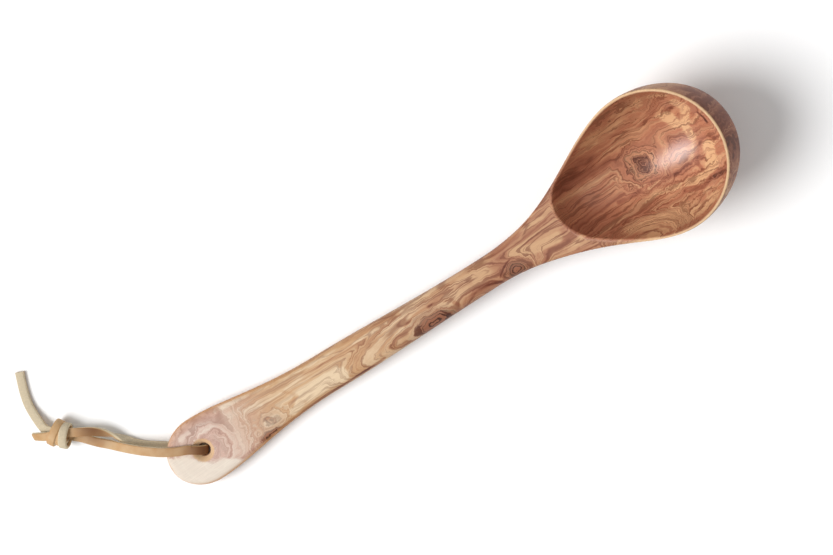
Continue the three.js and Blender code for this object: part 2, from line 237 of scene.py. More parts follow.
class StudioLight(bpy.types.PropertyGroup):
    """Studio round the ladle."""

    __annotations__ = {
        "key": FloatProperty(name="Key", description="Strength of the soft key light", default=2.75, min=0),
        "softness": FloatProperty(
            name="Softness", description="Angle that the key light spans",
            default=math.radians(36), subtype="ANGLE",
        ),
        "gloss": FloatProperty(
            name="Gloss", description="Power of the softbox that glints in the bowl",
            default=9.5, unit="POWER",
        ),
        "fill": FloatProperty(
            name="Fill", description="Strength of the white surroundings", default=0.48, min=0,
        ),
        **lengths(("softbox", "Width of the softbox", 520)),
        **colours(("floor", "Paint of the pale floor", "#FAFAFA")),
    }


def result(node):
    """The first output that a node has in use."""
    return next(socket for socket in node.outputs if socket.enabled)


def add(tree, kind, links=(), **settings):
    """A new node with its settings. Its links, by name or in the order of its inputs in use, are nodes
    and sockets to join, or values to set."""
    node = tree.nodes.new(kind)
    for key, value in settings.items():
        setattr(node, key, value)
    if isinstance(links, dict):
        pairs = [(node.inputs[name], value) for name, value in links.items()]
    else:
        pairs = zip([socket for socket in node.inputs if socket.enabled], links)
    for socket, value in pairs:
        if isinstance(value, bpy.types.Node):
            value = result(value)
        if isinstance(value, bpy.types.NodeSocket):
            tree.links.new(value, socket)
        else:
            socket.default_value = value
    return node


def finish_piece(obj, body, slot, *nodes):
    """A finished piece moves with its body and stands for CAD nodes."""
    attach(obj, body)
    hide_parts(*nodes)


def new_object(name, data):
    obj = bpy.data.objects.new(name, data)
    bpy.context.scene.collection.objects.link(obj)
    return obj


def settled(obj):
    """The object's evaluated form as a plain mesh, with its modifiers gone."""
    graph = bpy.context.evaluated_depsgraph_get()
    return bpy.data.meshes.new_from_object(obj.evaluated_get(graph))


def rows_of(mesh, field):
    """Places or normals of a mesh's points, as rows of three."""
    values = np.empty(3 * len(mesh.vertices))
    mesh.vertices.foreach_get(field, values)
    return values.reshape(-1, 3)


def store(mesh, name, values):
    """Keep a number at each point of a mesh for its material to read."""
    mesh.attributes.new(name, "FLOAT", "POINT").data.foreach_set("value", values)


# Carved body


def ease(value, low, high):
    share = np.clip((np.asarray(value, float) - low) / (high - low), 0, 1)
    return share * share * (3 - 2 * share)


def mix(a, b, share):
    return a + (b - a) * share


def level_curve(x0, y0, x1, y1, hold):
    """Points of a curve that is level at both of its ends."""
    t = np.linspace(0, 1, CURVE_POINTS)
    first, last = x0 + hold[0] * (x1 - x0), x1 - hold[1] * (x1 - x0)
    u = 1 - t
    xs = u**3 * x0 + 3 * u**2 * t * first + 3 * u * t**2 * last + t**3 * x1
    ys = u**3 * y0 + 3 * u**2 * t * y0 + 3 * u * t**2 * y1 + t**3 * y1
    return np.stack([xs, ys], 1)


def oval(centre, base, reach, height, start, end):
    """Points of a quarter of an ellipse between two angles."""
    angles = np.linspace(start, end, CURVE_POINTS)
    return np.stack([centre + reach * np.cos(angles), base + height * np.sin(angles)], 1)


def quarter_round(distance, reach):
    """0 at the end and 1 once past the reach."""
    back = np.maximum(0, 1 - distance / reach)
    return np.sqrt(1 - back**2)


class LadleForm:
    """Lines of the ladle, in millimetres, against the station along its top line."""

    def __init__(self, sizes):
        self.sizes = {key: getattr(sizes, key) / MM for key in LadleBodySizes.__annotations__}
        s = self.sizes
        half = {key: s[key + "_width"] / 2 for key in ("paddle", "grip", "neck", "bowl")}
        self.outline = np.concatenate([
            oval(PADDLE_WIDEST, 0, PADDLE_WIDEST, half["paddle"], math.pi, QUARTER),
            level_curve(PADDLE_WIDEST, half["paddle"], GRIP_FROM_END, half["grip"], PADDLE_TO_GRIP),
            level_curve(GRIP_FROM_END, half["grip"], NECK_FROM_END, half["neck"], GRIP_TO_NECK),
            level_curve(NECK_FROM_END, half["neck"], WIDEST_BOWL, half["bowl"], NECK_TO_BOWL),
            oval(WIDEST_BOWL, 0, BOWL_FROM_TIP, half["bowl"], QUARTER, 0),
        ])
        thick = {key: s[key + "_thickness"] for key in ("paddle", "grip", "neck")}
        depth, rim = s["bowl_depth"], s["rim_edge"]
        self.underside = np.concatenate([
            [[0, thick["paddle"]]],
            level_curve(PADDLE_LEVEL, thick["paddle"], GRIP_FROM_END, thick["grip"], UNDER_PADDLE_TO_GRIP),
            level_curve(GRIP_FROM_END, thick["grip"], NECK_FROM_END, thick["neck"], GRIP_TO_NECK),
            level_curve(NECK_FROM_END, thick["neck"], WIDEST_BOWL, depth, UNDER_NECK_TO_BOWL),
            oval(WIDEST_BOWL, rim, BOWL_FROM_TIP, depth - rim, QUARTER, 0),
        ])
        self.run = np.linspace(0, LENGTH, RUN_STEPS * LENGTH + 1)
        self.lay(self.resting_slope())

    def lay(self, slope):
        """The top line's place and angle along its run, for a slope of the handle."""
        bend = np.clip((self.run - PADDLE_LENGTH) / PADDLE_BEND, 0, 1)
        sweep = np.clip((self.run - (LENGTH - RIM_LENGTH - NECK_BEND)) / NECK_BEND, 0, 1)
        self.angle = slope * bend + NECK_SWEEP * sweep
        step = np.diff(self.run)
        middle = (self.angle[1:] + self.angle[:-1]) / 2
        self.x = np.concatenate([[0], np.cumsum(step * np.cos(middle))])
        self.z = np.concatenate([[0], np.cumsum(step * np.sin(middle))])

    def resting_slope(self):
        """The slope at which the grip's belly and the bowl rest on the same surface."""
        flat, steep = 0, STEEPEST_SLOPE
        for _ in range(SLOPE_ROUNDS):
            slope = (flat + steep) / 2
            self.lay(slope)
            low = self.z - self.depth(self.run) * np.cos(self.angle)
            bowl = self.run > NECK_FROM_END
            flat, steep = (flat, slope) if low[bowl].min() > low[~bowl].min() else (slope, steep)
        return (flat + steep) / 2

    def half_width(self, station):
        return np.interp(station, self.outline[:, 0], self.outline[:, 1])

    def depth(self, station):
        return np.interp(station, self.underside[:, 0], self.underside[:, 1])

    def edge(self, station):
        handle = mix(PADDLE_EDGE, HANDLE_EDGE, ease(station, PADDLE_LENGTH, GRIP_FROM_END))
        return mix(handle, self.sizes["rim_edge"], ease(station, NECK_FROM_END, HOLLOW_START))

    def top_line(self, station):
        """Place along, height and angle of the top line."""
        return (np.interp(station, self.run, values) for values in (self.x, self.z, self.angle))

    def side(self, station):
        """How far the handle's bow and the bowl's set-back move the top line aside."""
        bow = HANDLE_BOW * ease(station, PADDLE_WIDEST, NECK_FROM_END)
        return BOWL_SETBACK * ease(station, *SETBACK_RUN) - bow

    def place(self, station, section):
        """Section points, across and up from the top line, set square to it."""
        x, z, angle = self.top_line(station)
        across, up = np.array(section, float).T
        return np.stack([x - up * np.sin(angle), self.side(station) + across, z + up * np.cos(angle)], 1)

    def body_ring(self, station, half):
        """A cross-section: flat top, rounded shoulders and a full round underside."""
        edge = float(self.edge(station))
        shoulder = min(edge, half)
        fullness = float(mix(HANDLE_FULLNESS, BOWL_FULLNESS, ease(station, NECK_FROM_END, WIDEST_BOWL)))
        at_tip = quarter_round(LENGTH - station, self.sizes["rim_edge"])
        top = -edge * (1 - min(quarter_round(station, PADDLE_EDGE), at_tip))
        bottom = mix(-edge, -float(self.depth(station)), quarter_round(station, PADDLE_END_EDGE))
        flat = [((half - shoulder) * i / TOP_STEPS, top) for i in range(TOP_STEPS)]
        turns = np.arange(EDGE_STEPS) / EDGE_STEPS * QUARTER
        shoulders = [(half - shoulder * (1 - math.sin(t)), mix(-edge, top, math.cos(t))) for t in turns]
        turns = np.arange(UNDERSIDE_STEPS) / UNDERSIDE_STEPS * QUARTER
        power = 2 / fullness
        belly = [(half * math.cos(t) ** power, mix(-edge, bottom, math.sin(t) ** power)) for t in turns]
        right = flat + shoulders + belly
        left = [(-across, up) for across, up in right[:0:-1]]
        return self.place(station, right + [(0, bottom)] + left)

    def unplace(self, points):
        """Station, across and up of points in the ladle's own frame."""
        station = np.interp(points[:, 0], self.x, self.run)
        for _ in range(STATION_ROUNDS):
            x, z, angle = self.top_line(station)
            forward = (points[:, 0] - x) * np.cos(angle) + (points[:, 2] - z) * np.sin(angle)
            station = np.clip(station + forward, 0, LENGTH)
        up = (points[:, 2] - z) * np.cos(angle) - (points[:, 0] - x) * np.sin(angle)
        return station, points[:, 1] - self.side(station), up

    def blank(self):
        """Rings of the outside, evenly spaced round the outline."""
        step = np.hypot(*np.diff(self.outline, axis=0).T)
        walked = np.concatenate([[0], np.cumsum(step)])
        marks = np.linspace(0, walked[-1], BODY_STATIONS + 1)
        stations = np.interp(marks, walked, self.outline[:, 0])
        halves = np.interp(marks, walked, self.outline[:, 1])
        return [self.body_ring(float(s), max(float(h), 0.0)) for s, h in zip(stations, halves)]

    def hollow(self):
        """Rings of the hollow, closed well above the rim so that it cuts clean through."""
        s = self.sizes
        end = LENGTH - s["rim_wall"]
        widest = s["bowl_width"] / 2 - s["rim_wall"]
        share = 1 - s["bottom_wall"] / s["bowl_depth"]
        rings = []
        for i in range(HOLLOW_STATIONS + 1):
            station = mix(HOLLOW_START, end, (1 - math.cos(i / HOLLOW_STATIONS * math.pi)) / 2)
            back = max(0, (WIDEST_BOWL - station) / (WIDEST_BOWL - HOLLOW_START))
            front = max(0, (station - WIDEST_BOWL) / (end - WIDEST_BOWL))
            plan = math.sqrt(max(0, 1 - back**HOLLOW_TAPER - front**2))
            dip = math.sqrt(max(0, 1 - back**2 - front**2))
            aside = HOLLOW_SKEW * back**SKEW_FADE
            room = max(0, float(self.half_width(station)) - s["rim_wall"] - aside)
            half = min(widest * plan, room)
            depth = share * min(s["bowl_depth"] * dip, float(self.depth(station)))
            turns = np.linspace(0, math.pi, HOLLOW_STEPS + 1)
            cosines, sines = np.cos(turns), np.abs(np.sin(turns))
            across = aside + half * np.sign(cosines) * np.abs(cosines) ** (2 / BOWL_FULLNESS)
            up = -depth * sines ** (2 / BOWL_FULLNESS)
            section = list(zip(across, up))
            section += [(aside - half, s["bowl_depth"]), (aside + half, s["bowl_depth"])]
            rings.append(self.place(station, section))
        return rings

    def hole(self):
        """Rings of the hanging hole with its countersinks, past both faces of the paddle."""
        s = self.sizes
        past = 1
        mouth, bore, deep = s["countersink"] / 2, s["hole"] / 2, s["countersink_depth"]
        flared = mouth + (mouth - bore) / deep * past
        thick = s["paddle_thickness"]
        heights = [-thick - past, -thick + deep, -deep, past]
        turns = np.arange(HOLE_STEPS) / HOLE_STEPS * 2 * math.pi
        circle = np.stack([np.cos(turns), np.sin(turns), np.zeros(HOLE_STEPS)], 1)
        centre = np.array([HOLE_FROM_END, 0, 0])
        return [
            circle * radius + centre + [0, 0, height]
            for radius, height in zip((flared, bore, bore, flared), heights)
        ]


def skin(name, rings, shift):
    """A closed mesh over a row of rings, in metres, moved by the shift in millimetres."""
    shell = bmesh.new()
    rows = [[shell.verts.new((Vector(p) + shift) * MM) for p in ring] for ring in rings]
    for near, far in zip(rows, rows[1:]):
        for i in range(len(near)):
            j = (i + 1) % len(near)
            shell.faces.new((near[i], near[j], far[j], far[i]))
    for ring in (rows[0], rows[-1]):
        shell.faces.new(ring)
    bmesh.ops.remove_doubles(shell, verts=shell.verts, dist=WELD)
    bmesh.ops.dissolve_degenerate(shell, edges=shell.edges, dist=SLIVER)
    bmesh.ops.recalc_face_normals(shell, faces=shell.faces)
    mesh = bpy.data.meshes.new(name)
    shell.to_mesh(mesh)
    shell.free()
    return new_object(name, mesh)


# Growth rings lean in the handle: how far across for each step up. Outside the hollow they spread
# with the ladle's width, by this power of it.
RING_LEAN = 0.35
RING_SPREAD = 0.55
# How the rings wander: run along and across the grain and push, in millimetres, and an offset.
WANDERINGS = ((130, 16, 7.0, 3.1), (46, 7, 2.2, 8.4), (15, 3.0, 0.8, 5.7), (5, 1.5, 0.6, 2.9))
# Noises that curl the rings at both of the ladle's ends and crinkle them in its knots: size in
# millimetres, detail and roughness. A noise swings about its middle.
CURL = (11, 4, 0.58)
CRINKLE = (4.5, 3, 0.5)
NOISE_MIDDLE = 0.5
# What changes along the body: from and to along X, in millimetres, the values there, and the way.
ALONG = {
    # Shares of the neck's colours and of those of the handle's end.
    "neck": (-70, 40, 0, 1, "SMOOTHSTEP"),
    "paddle": (-98, -146, 0, 1, "SMOOTHSTEP"),
    # Push of the curl, in millimetres, towards the bowl's tip and on the handle's end.
    "tip_curl": (90, 146, 1.5, 13, "LINEAR"),
    "paddle_curl": (-108, -130, 0, 8, "LINEAR"),
    # Contrast of the handle's bands, and ink of the lines.
    "contrast": (-110, 10, 0.55, 0.85, "LINEAR"),
    "ink": (-100, 20, 0.22, 0.65, "LINEAR"),
}
# Bands of the rings: spacing and run along the grain, in millimetres, and how fine they break up.
BANDS = {
    "handle": (3.4, 60, 2),
    "handle_fine": (1.1, 40, 2),
    "hollow": (4.5, 50, 5),
    "hollow_fine": (1.5, 30, 2),
    "hair": (0.9, 40, 1),
}
# Growth knots that the rings close round: centre and reach in millimetres, how the distance from it
# counts along, across and up, how far its rings crinkle, and its darkness. Those without darkness are
# arcs and arches: on the handle's end, round the first dark knot, between the two dark knots of the
# neck, and under the bowl's rim.
WOOD_KNOTS = (
    ((-146, -2, 10), 24.0, (1, 1, 0.5), 7.0, 0.0),
    ((-11, -7.5, 17), 20.0, (0.34, 1.7, 1.0), 2.5, 0.0),
    ((17, -10, 18), 13.0, (0.3, 1, 0.6), 1.5, 0.0),
    ((-8, -8.6, 17.5), 8.0, (0.42, 1, 0.8), 3.8, 0.95),
    ((43, -8.3, 22.4), 7.0, (0.62, 1, 0.8), 3.5, 0.85),
    ((-110.7, -6.2, 10.5), 6.5, (0.6, 1, 0.8), 5.5, 0.35),
    ((-114, -12.2, 9.3), 5.0, (0.42, 1, 0.8), 4.5, 0.95),
    ((106, -33, 36), 17.0, (0.7, 1, 0.6), 3.0, 0.0),
    ((121, 1.2, 6), 15.0, (1, 1, 1), 9.0, 0.55),
)
# Shares of a knot's reach over which the rings let go of it, and over which its dark heart fades.
KNOT_HOLD = (0.55, 1.15)
KNOT_HEART = (0.35, 0.85)
# Distance between the dark rings of a knot, how far the fine bands break them, and what a knot's
# heart adds to the hairlines and to the ink of the lines.
KNOT_RING = 1.7
KNOT_BREAK = 2.5
KNOT_HAIR = 0.16
KNOT_INK = 0.5
# Strokes of paler and darker wood, some of them also painted light and painted shade in the bowl: strength
# from -1, dark, to 1, pale, breadth to each side in millimetres, and the points that the stroke runs
# through.
STROKES = (
    # Pale streaks of the bowl from the neck's side, and a smooth patch beside the eye.
    (0.3, 1.8, (89, 18, 26), (98, 15, 14), (107, 15, 12), (117, 17, 12)),
    (0.3, 1.6, (80, 7, 21), (91, 5, 11), (102, 6, 8), (113, 11, 8)),
    (0.35, 5.0, (102, 1, 7), (104, 0, 7)),
    (0.4, 1.8, (119, 18, 13), (127, 19, 14), (136, 21, 17)),
    (0.6, 2.2, (98, -16, 17), (109, -14, 11), (119, -14, 10), (131, -17, 13)),
    # Golden figure towards the bowl's tip.
    (1.0, 4.0, (144, 16, 16), (146, 11, 14)),
    (0.9, 3.0, (152, 18, 23), (155, 13, 21), (149, 7, 15), (149, 0, 14)),
    (1.0, 4.5, (154, -8, 18), (151, -15, 19)),
    (0.9, 3.0, (135, -19, 15), (142, -19, 18), (152, -17, 22)),
    (0.5, 2.5, (141, 28, 28), (151, 24, 28)),
    (0.6, 2.5, (148, -4, 14), (143, -10, 13)),
    (0.5, 2.5, (142, -25, 24), (151, -25, 30)),
    # Smooth band under the bowl's rim; on the lower wall it is paler still as painted light, where the key
    # falls.
    (0.9, 6.0, (113, -29, 35), (122, -30, 33), (132, -31, 33), (144, -30, 32)),
    (0.75, 9.0, (104, -22, 23), (115, -25, 24), (130, -28, 27)),
    (0.6, 9.0, (106, 24, 25), (118, 26, 23), (134, 28, 27)),
    # Dark veins and darker streaks of the bowl, and the specks at its tip.
    (-0.7, 1.3, (141, 18, 17), (149, 17, 19)),
    (-0.8, 1.5, (150, -5, 15), (154, -4, 18), (160, -7, 23)),
    (-0.7, 1.5, (149, -5, 14), (144, -11, 14), (145, -16, 17)),
    (-0.9, 1.8, (133, -20, 16), (142, -23, 21), (147, -21, 22), (156, -22, 30)),
    (-0.6, 1.6, (101, -8, 9), (110, -9, 8), (122, -8, 8), (133, -12, 10)),
    (-0.6, 1.8, (112, 22, 19), (123, 19, 14), (132, 18, 14), (142, 19, 18)),
    # The broad dark strokes at the hollow's neck end and on its left wall are darker wood and painted
    # shade.
    (-0.4, 3.0, (83, 13, 22), (92, 10, 12), (103, 10, 9), (111, 12, 9)),
    (-0.15, 6.0, (80, 4, 20), (86, -3, 16)),
    (-0.65, 8.0, (86, 14, 24), (99, 16, 16)),
    (-0.25, 3.0, (82, -8, 22), (90, -9, 15), (98, -10, 11)),
    (-0.3, 2.5, (94, -18, 25), (100, -17, 18)),
    (-1.0, 1.0, (159, 8, 22), (160, 5, 22), (160, 2, 22)),
    # Pale places of the neck.
    (0.9, 3.2, (46, 0, 23), (57, -4, 25), (70, -6, 27)),
    (0.7, 1.6, (72, -14, 27), (82, -11, 30)),
    (0.7, 7.0, (4, -4, 20), (16, -1, 20), (30, 2, 21)),
    (0.6, 1.8, (-19, 5, 17), (0, 6, 17), (18, 5, 19), (34, 4, 21)),
    (0.6, 2.0, (-18, 1, 18), (-8, 0, 18)),
    (0.5, 1.5, (48, 7, 21), (63, 7, 26), (77, 6, 26)),
    # The dark branch between the knots, and streaks of the neck.
    (-0.8, 1.2, (10, -10, 17), (20, -6, 21), (27, -7, 21), (33, -9, 20)),
    (-0.55, 1.5, (59, -11, 25), (68, -12, 27), (76, -15, 28)),
    (-0.45, 1.5, (60, -9, 25), (74, -10, 28)),
    (-0.5, 2.0, (74, -4, 28), (78, -4, 28)),
    (-0.3, 2.2, (33, 0, 22), (50, 4, 24), (73, 3, 28)),
    (-0.3, 1.2, (-1, 3, 19), (14, 0, 20), (20, -1, 21)),
    # Outer rings of the two dark knots.
    (-0.8, 1.0, (-22, -2, 17), (-13, 0, 18), (-4, 0, 19), (2, -1, 19), (6, -3, 20), (8, -7, 19)),
    (-0.8, 0.8, (34, -7, 22), (38, -4, 22), (43, -2, 23), (49, -3, 23), (51, -6, 23), (52, -10, 23)),
    # Deeper tan beside the first knot.
    (-0.4, 6.0, (-41, -1, 16), (-28, -6, 16)),
    (-0.3, 2.0, (-41, 8, 14), (-64, 5, 14), (-53, -2, 15)),
    # Cream of the handle, and the dark line along one edge of it.
    (0.9, 4.2, (-88, -4, 12), (-77, -4, 13), (-64, -5, 14)),
    (0.7, 3.0, (-98, -8, 11), (-88, -4, 12)),
    (0.6, 1.6, (-134, 14, 10), (-113, 12, 10), (-70, 7, 13), (-37, 4, 16)),
    (0.3, 3.0, (-108, 9, 11), (-86, 6, 12)),
    (-0.9, 1.3, (-112, -12, 9), (-86, -10, 10), (-50, -10, 13), (-41, -10, 14)),
    (-0.5, 1.3, (-109, 8, 11), (-76, 5, 13), (-64, 5, 14)),
    (-0.4, 1.2, (-100, 7, 11), (-92, -1, 12), (-97, -5, 11)),
    # Figure of the handle's end: dark patch, swirl, and arcs.
    (-0.7, 1.6, (-122, -12, 10), (-107, -12, 8)),
    (-0.5, 1.4, (-124, -13, 10), (-135, -14, 10), (-144, -17, 8)),
    (-0.35, 2.2, (-156, 15, 10), (-150, 16, 10), (-139, 15, 10)),
    (-0.25, 1.6, (-132, 14, 10), (-134, 7, 10), (-142, 5, 10)),
    (-0.35, 1.6, (-156, 5, 10), (-149, 7, 10), (-144, 2, 10)),
    (0.2, 1.4, (-159, 11, 10), (-149, 13, 10), (-137, 11, 10)),
    (0.3, 2.6, (-128, 8, 10), (-120, 6, 10), (-112, 4, 10)),
    (0.6, 2.4, (-114, -6, 10), (-108, -6, 11)),
)
# Shares of its breadth over which a stroke fades, and how far noise tears it.
STROKE_FADE = (0.4, 1.3)
STROKE_TEAR = 0.9
# Levels at which the tones of a zone follow each other, from its darkest to its palest.
TONE_STOPS = (0.1, 0.27, 0.4, 0.5, 0.66)
# The pale corner of the handle's end: a point on its border, the way in from there, how far the curl
# roughens the border, and the depths over which it comes in, with its shares there.
SAPWOOD_EDGE = (-154.4, -4.7, 0)
SAPWOOD_WAY = (-0.53, -0.85, 0)
SAPWOOD_ROUGH = 14
SAPWOOD_DEPTHS = (-3.2, -0.2, 0, 0.9)
# Levels of noise between which the strokes, hairlines, knot rings, ring lines and fibres come in, and
# the values there where they aren't 0 and 1.
STROKE_LEVELS = (0.3, 1.4, 0, 0.28)
HAIR_LEVELS = (0.53, 0.63)
WAVE_LEVELS = (0.5, 1.4)
LINE_LEVELS = (0.008, 0.045)
FIBRE_LEVELS = (0.3, 0.7, 0.93, 1.04)
# Fibres: length, width and relief in millimetres, and the relief's strength.
FIBRE_LENGTH = 9
FIBRE_WIDTH = 0.4
FIBRE_RELIEF = 0.1
FIBRE_STRENGTH = 0.12
# Roughness and specular level of the satin outside and of the polished hollow.
WOOD_ROUGHNESS = (0.5, 0.27)
WOOD_SPECULAR = (0.2, 0.5)
WOOD_IOR = 1.5


def stroked(points):
    """Tone of points from the strokes of pale and dark wood that they lie in, some of them painted light
    and shade.
    """
    pale, dark = np.zeros(len(points)), np.zeros(len(points))
    for strength, breadth, *stops in STROKES:
        stops = np.array(stops, float)
        side = pale if strength > 0 else dark
        for start, end in zip(stops, stops[1:]):
            run = end - start
            share = np.clip((points - start) @ run / (run @ run), 0, 1)
            off = np.linalg.norm(points - start - share[:, None] * run, axis=1)
            np.maximum(side, abs(strength) * (1 - ease(off / breadth, *STROKE_FADE)), out=side)
    return pale - dark


def wood_rings(tree, point, zones):
    """The rings, in millimetres across the grain, with the curl and the crinkle that bend them and the
    darkness of the knots' hearts."""
    ring = add(tree, "ShaderNodeAttribute", attribute_name="grain").outputs["Fac"]
    for run, breadth, push, start in WANDERINGS:
        size = (1 / run, 1 / breadth, 1 / breadth)
        grain = add(tree, "ShaderNodeVectorMath", (point, size, (start,) * 3), operation="MULTIPLY_ADD")
        noise = add(tree, "ShaderNodeTexNoise", {"Vector": grain, "Scale": 1, "Detail": 2})
        wander = add(tree, "ShaderNodeMath", (noise, NOISE_MIDDLE), operation="SUBTRACT")
        ring = add(tree, "ShaderNodeMath", (wander, push, ring), operation="MULTIPLY_ADD")
    bends = []
    for size, detail, roughness in (CURL, CRINKLE):
        links = {"Vector": point, "Scale": 1 / size, "Detail": detail, "Roughness": roughness}
        noise = add(tree, "ShaderNodeTexNoise", links)
        bends.append(add(tree, "ShaderNodeMath", (noise, NOISE_MIDDLE), operation="SUBTRACT"))
    curl, crinkle = bends
    push = add(tree, "ShaderNodeMath", (zones["tip_curl"], zones["paddle_curl"]), operation="ADD")
    ring = add(tree, "ShaderNodeMath", (curl, push, ring), operation="MULTIPLY_ADD")

    # The rings close round each knot in crinkles, and a knot's heart is dark.
    rough = add(tree, "ShaderNodeMath", (crinkle, curl), operation="ADD")
    heart = 0
    for centre, reach, counts, bend, depth in WOOD_KNOTS:
        off = add(tree, "ShaderNodeVectorMath", (point, centre), operation="SUBTRACT")
        off = add(tree, "ShaderNodeVectorMath", (off, counts), operation="MULTIPLY")
        away = add(tree, "ShaderNodeVectorMath", (off,), operation="LENGTH")
        ragged = add(tree, "ShaderNodeMath", (rough, bend, away), operation="MULTIPLY_ADD")
        near, far = (share * reach for share in KNOT_HOLD)
        hold = add(tree, "ShaderNodeMapRange", (ragged, near, far, 1, 0), interpolation_type="SMOOTHSTEP")
        ring = add(tree, "ShaderNodeMix", (hold, ring, ragged), data_type="FLOAT")
        near, far = (share * reach for share in KNOT_HEART)
        core = add(tree, "ShaderNodeMapRange", (ragged, near, far, depth, 0))
        heart = add(tree, "ShaderNodeMath", (core, heart), operation="MAXIMUM")
    return ring, curl, crinkle, heart


def olive_wood():
    """Olive wood, carved, sanded and oiled: wandering growth rings of cream, tan and brown with dark
    lines and knots, a fine streak along the grain, and the soft sheen of an oiled surface."""
    look = bpy.context.scene.olive_wood_finish
    material = bpy.data.materials.new("olive_wood_oiled")
    material.use_nodes = True
    tree = material.node_tree
    shader = tree.nodes["Principled BSDF"]

    place = add(tree, "ShaderNodeTexCoord").outputs["Object"]
    point = add(tree, "ShaderNodeVectorMath", (place, 1 / MM), operation="SCALE")
    along = add(tree, "ShaderNodeSeparateXYZ", (point,)).outputs["X"]
    hollow, stroke, edge, rim = (
        add(tree, "ShaderNodeAttribute", attribute_name=name).outputs["Fac"]
        for name in ("hollow", "tone", "edge", "rim")
    )
    zones = {
        name: add(tree, "ShaderNodeMapRange", (along, *limits), interpolation_type=way)
        for name, (*limits, way) in ALONG.items()
    }
    ring, curl, crinkle, heart = wood_rings(tree, point, zones)

    # Broad and narrow bands of the rings that fade in and out along the grain, and hairlines.
    flow = add(tree, "ShaderNodeCombineXYZ", (along, ring))
    bands = {}
    for name, (spacing, run, detail) in BANDS.items():
        spread = add(tree, "ShaderNodeVectorMath", (flow, (1 / run, 1 / spacing, 0)), operation="MULTIPLY")
        links = {"Vector": spread, "Scale": 1, "Detail": detail}
        bands[name] = add(tree, "ShaderNodeTexNoise", links, noise_dimensions="2D")

    # Strokes of paler and darker wood and painted shade, torn along the rings.
    size = add(tree, "ShaderNodeMath", (stroke,), operation="ABSOLUTE")
    tear = add(tree, "ShaderNodeMath", (bands["hollow_fine"], crinkle), operation="ADD")
    torn = add(tree, "ShaderNodeMath", (tear, STROKE_TEAR, size), operation="MULTIPLY_ADD")
    broken = add(tree, "ShaderNodeMapRange", (torn, *STROKE_LEVELS), interpolation_type="SMOOTHSTEP")

    # Level of tone on the handle and in the hollow: share of the fine bands, contrast, and middle.
    levels = {}
    for name, share, contrast, middle in (
        ("handle", 0.4, zones["contrast"], 0.53),
        ("hollow", 0.45, 0.85, 0.505),
    ):
        level = add(tree, "ShaderNodeMix", (share, bands[name], bands[name + "_fine"]), data_type="FLOAT")
        level = add(tree, "ShaderNodeMath", (level, NOISE_MIDDLE), operation="SUBTRACT")
        level = add(tree, "ShaderNodeMath", (level, contrast, middle), operation="MULTIPLY_ADD")
        levels[name] = add(tree, "ShaderNodeMath", (stroke, broken, level), operation="MULTIPLY_ADD")
    colour = None
    for share, level, zone in (
        (None, "handle", (look.dark, look.brown, look.amber, look.tan, look.cream)),
        (zones["neck"], "handle", (look.dark, look.brown, look.neck_deep, look.neck_amber, look.neck_tan)),
        (zones["paddle"], "handle", (look.brown, look.knot, look.lilac_shade, look.lilac, look.sapwood)),
        (hollow, "hollow", (look.dark, look.brown, look.bowl_deep, look.bowl_amber, look.gold)),
    ):
        tones = add(tree, "ShaderNodeValToRGB", (levels[level],))
        for position in TONE_STOPS[2:]:
            tones.color_ramp.elements.new(position)
        for element, position, tone in zip(tones.color_ramp.elements, TONE_STOPS, zone):
            element.position = position
            element.color = tone
        colour = add(tree, "ShaderNodeMix", (share, colour, tones), data_type="RGBA") if colour else tones

    # Hairlines of late wood.
    hair = add(tree, "ShaderNodeMix", (hollow, bands["hair"], bands["hollow_fine"]), data_type="FLOAT")
    hair = add(tree, "ShaderNodeMath", (heart, KNOT_HAIR, hair), operation="MULTIPLY_ADD")
    line = add(tree, "ShaderNodeMapRange", (hair, *HAIR_LEVELS, 0, zones["ink"]))
    late = add(tree, "ShaderNodeMix", (hollow, look.brown, look.bowl_deep), data_type="RGBA")
    colour = add(tree, "ShaderNodeMix", (line, colour, late), data_type="RGBA")
    # Dark and pale rings of the knots' hearts.
    wave = add(tree, "ShaderNodeMath", (ring, 2 * math.pi / KNOT_RING), operation="MULTIPLY")
    wave = add(tree, "ShaderNodeMath", (wave,), operation="SINE")
    wave = add(tree, "ShaderNodeMath", (bands["handle_fine"], KNOT_BREAK, wave), operation="MULTIPLY_ADD")
    grown = add(tree, "ShaderNodeMapRange", (wave, *WAVE_LEVELS))
    pith = add(tree, "ShaderNodeMix", (hollow, look.knot, look.bowl_amber), data_type="RGBA")
    knot = add(tree, "ShaderNodeMix", (grown, look.dark, pith), data_type="RGBA")
    colour = add(tree, "ShaderNodeMix", (heart, colour, knot), data_type="RGBA")
    # Thin lines where one ring meets the next, darkest in the knots.
    parted = add(tree, "ShaderNodeMath", (bands["handle"], NOISE_MIDDLE), operation="SUBTRACT")
    parted = add(tree, "ShaderNodeMath", (parted,), operation="ABSOLUTE")
    ink = add(tree, "ShaderNodeMath", (heart, KNOT_INK, zones["ink"]), operation="MULTIPLY_ADD")
    line = add(tree, "ShaderNodeMapRange", (parted, *LINE_LEVELS, ink, 0), interpolation_type="SMOOTHSTEP")
    drawn = add(tree, "ShaderNodeMix", (heart, look.brown, look.dark), data_type="RGBA")
    colour = add(tree, "ShaderNodeMix", (line, colour, drawn), data_type="RGBA")

    # One corner of the handle's end is sapwood, the handle's rounded edges take a darker orange-tan as
    # painted shade, and the rim's end grain is rubbed pale.
    off = add(tree, "ShaderNodeVectorMath", (point, SAPWOOD_EDGE), operation="SUBTRACT")
    depth = add(tree, "ShaderNodeVectorMath", (off, SAPWOOD_WAY), operation="DOT_PRODUCT")
    depth = add(tree, "ShaderNodeMath", (curl, SAPWOOD_ROUGH, depth), operation="MULTIPLY_ADD")
    corner = add(tree, "ShaderNodeMapRange", (depth, *SAPWOOD_DEPTHS), interpolation_type="SMOOTHSTEP")
    for share, tone in ((corner, look.sapwood), (edge, look.edge), (rim, look.rim)):
        colour = add(tree, "ShaderNodeMix", (share, colour, tone), data_type="RGBA")

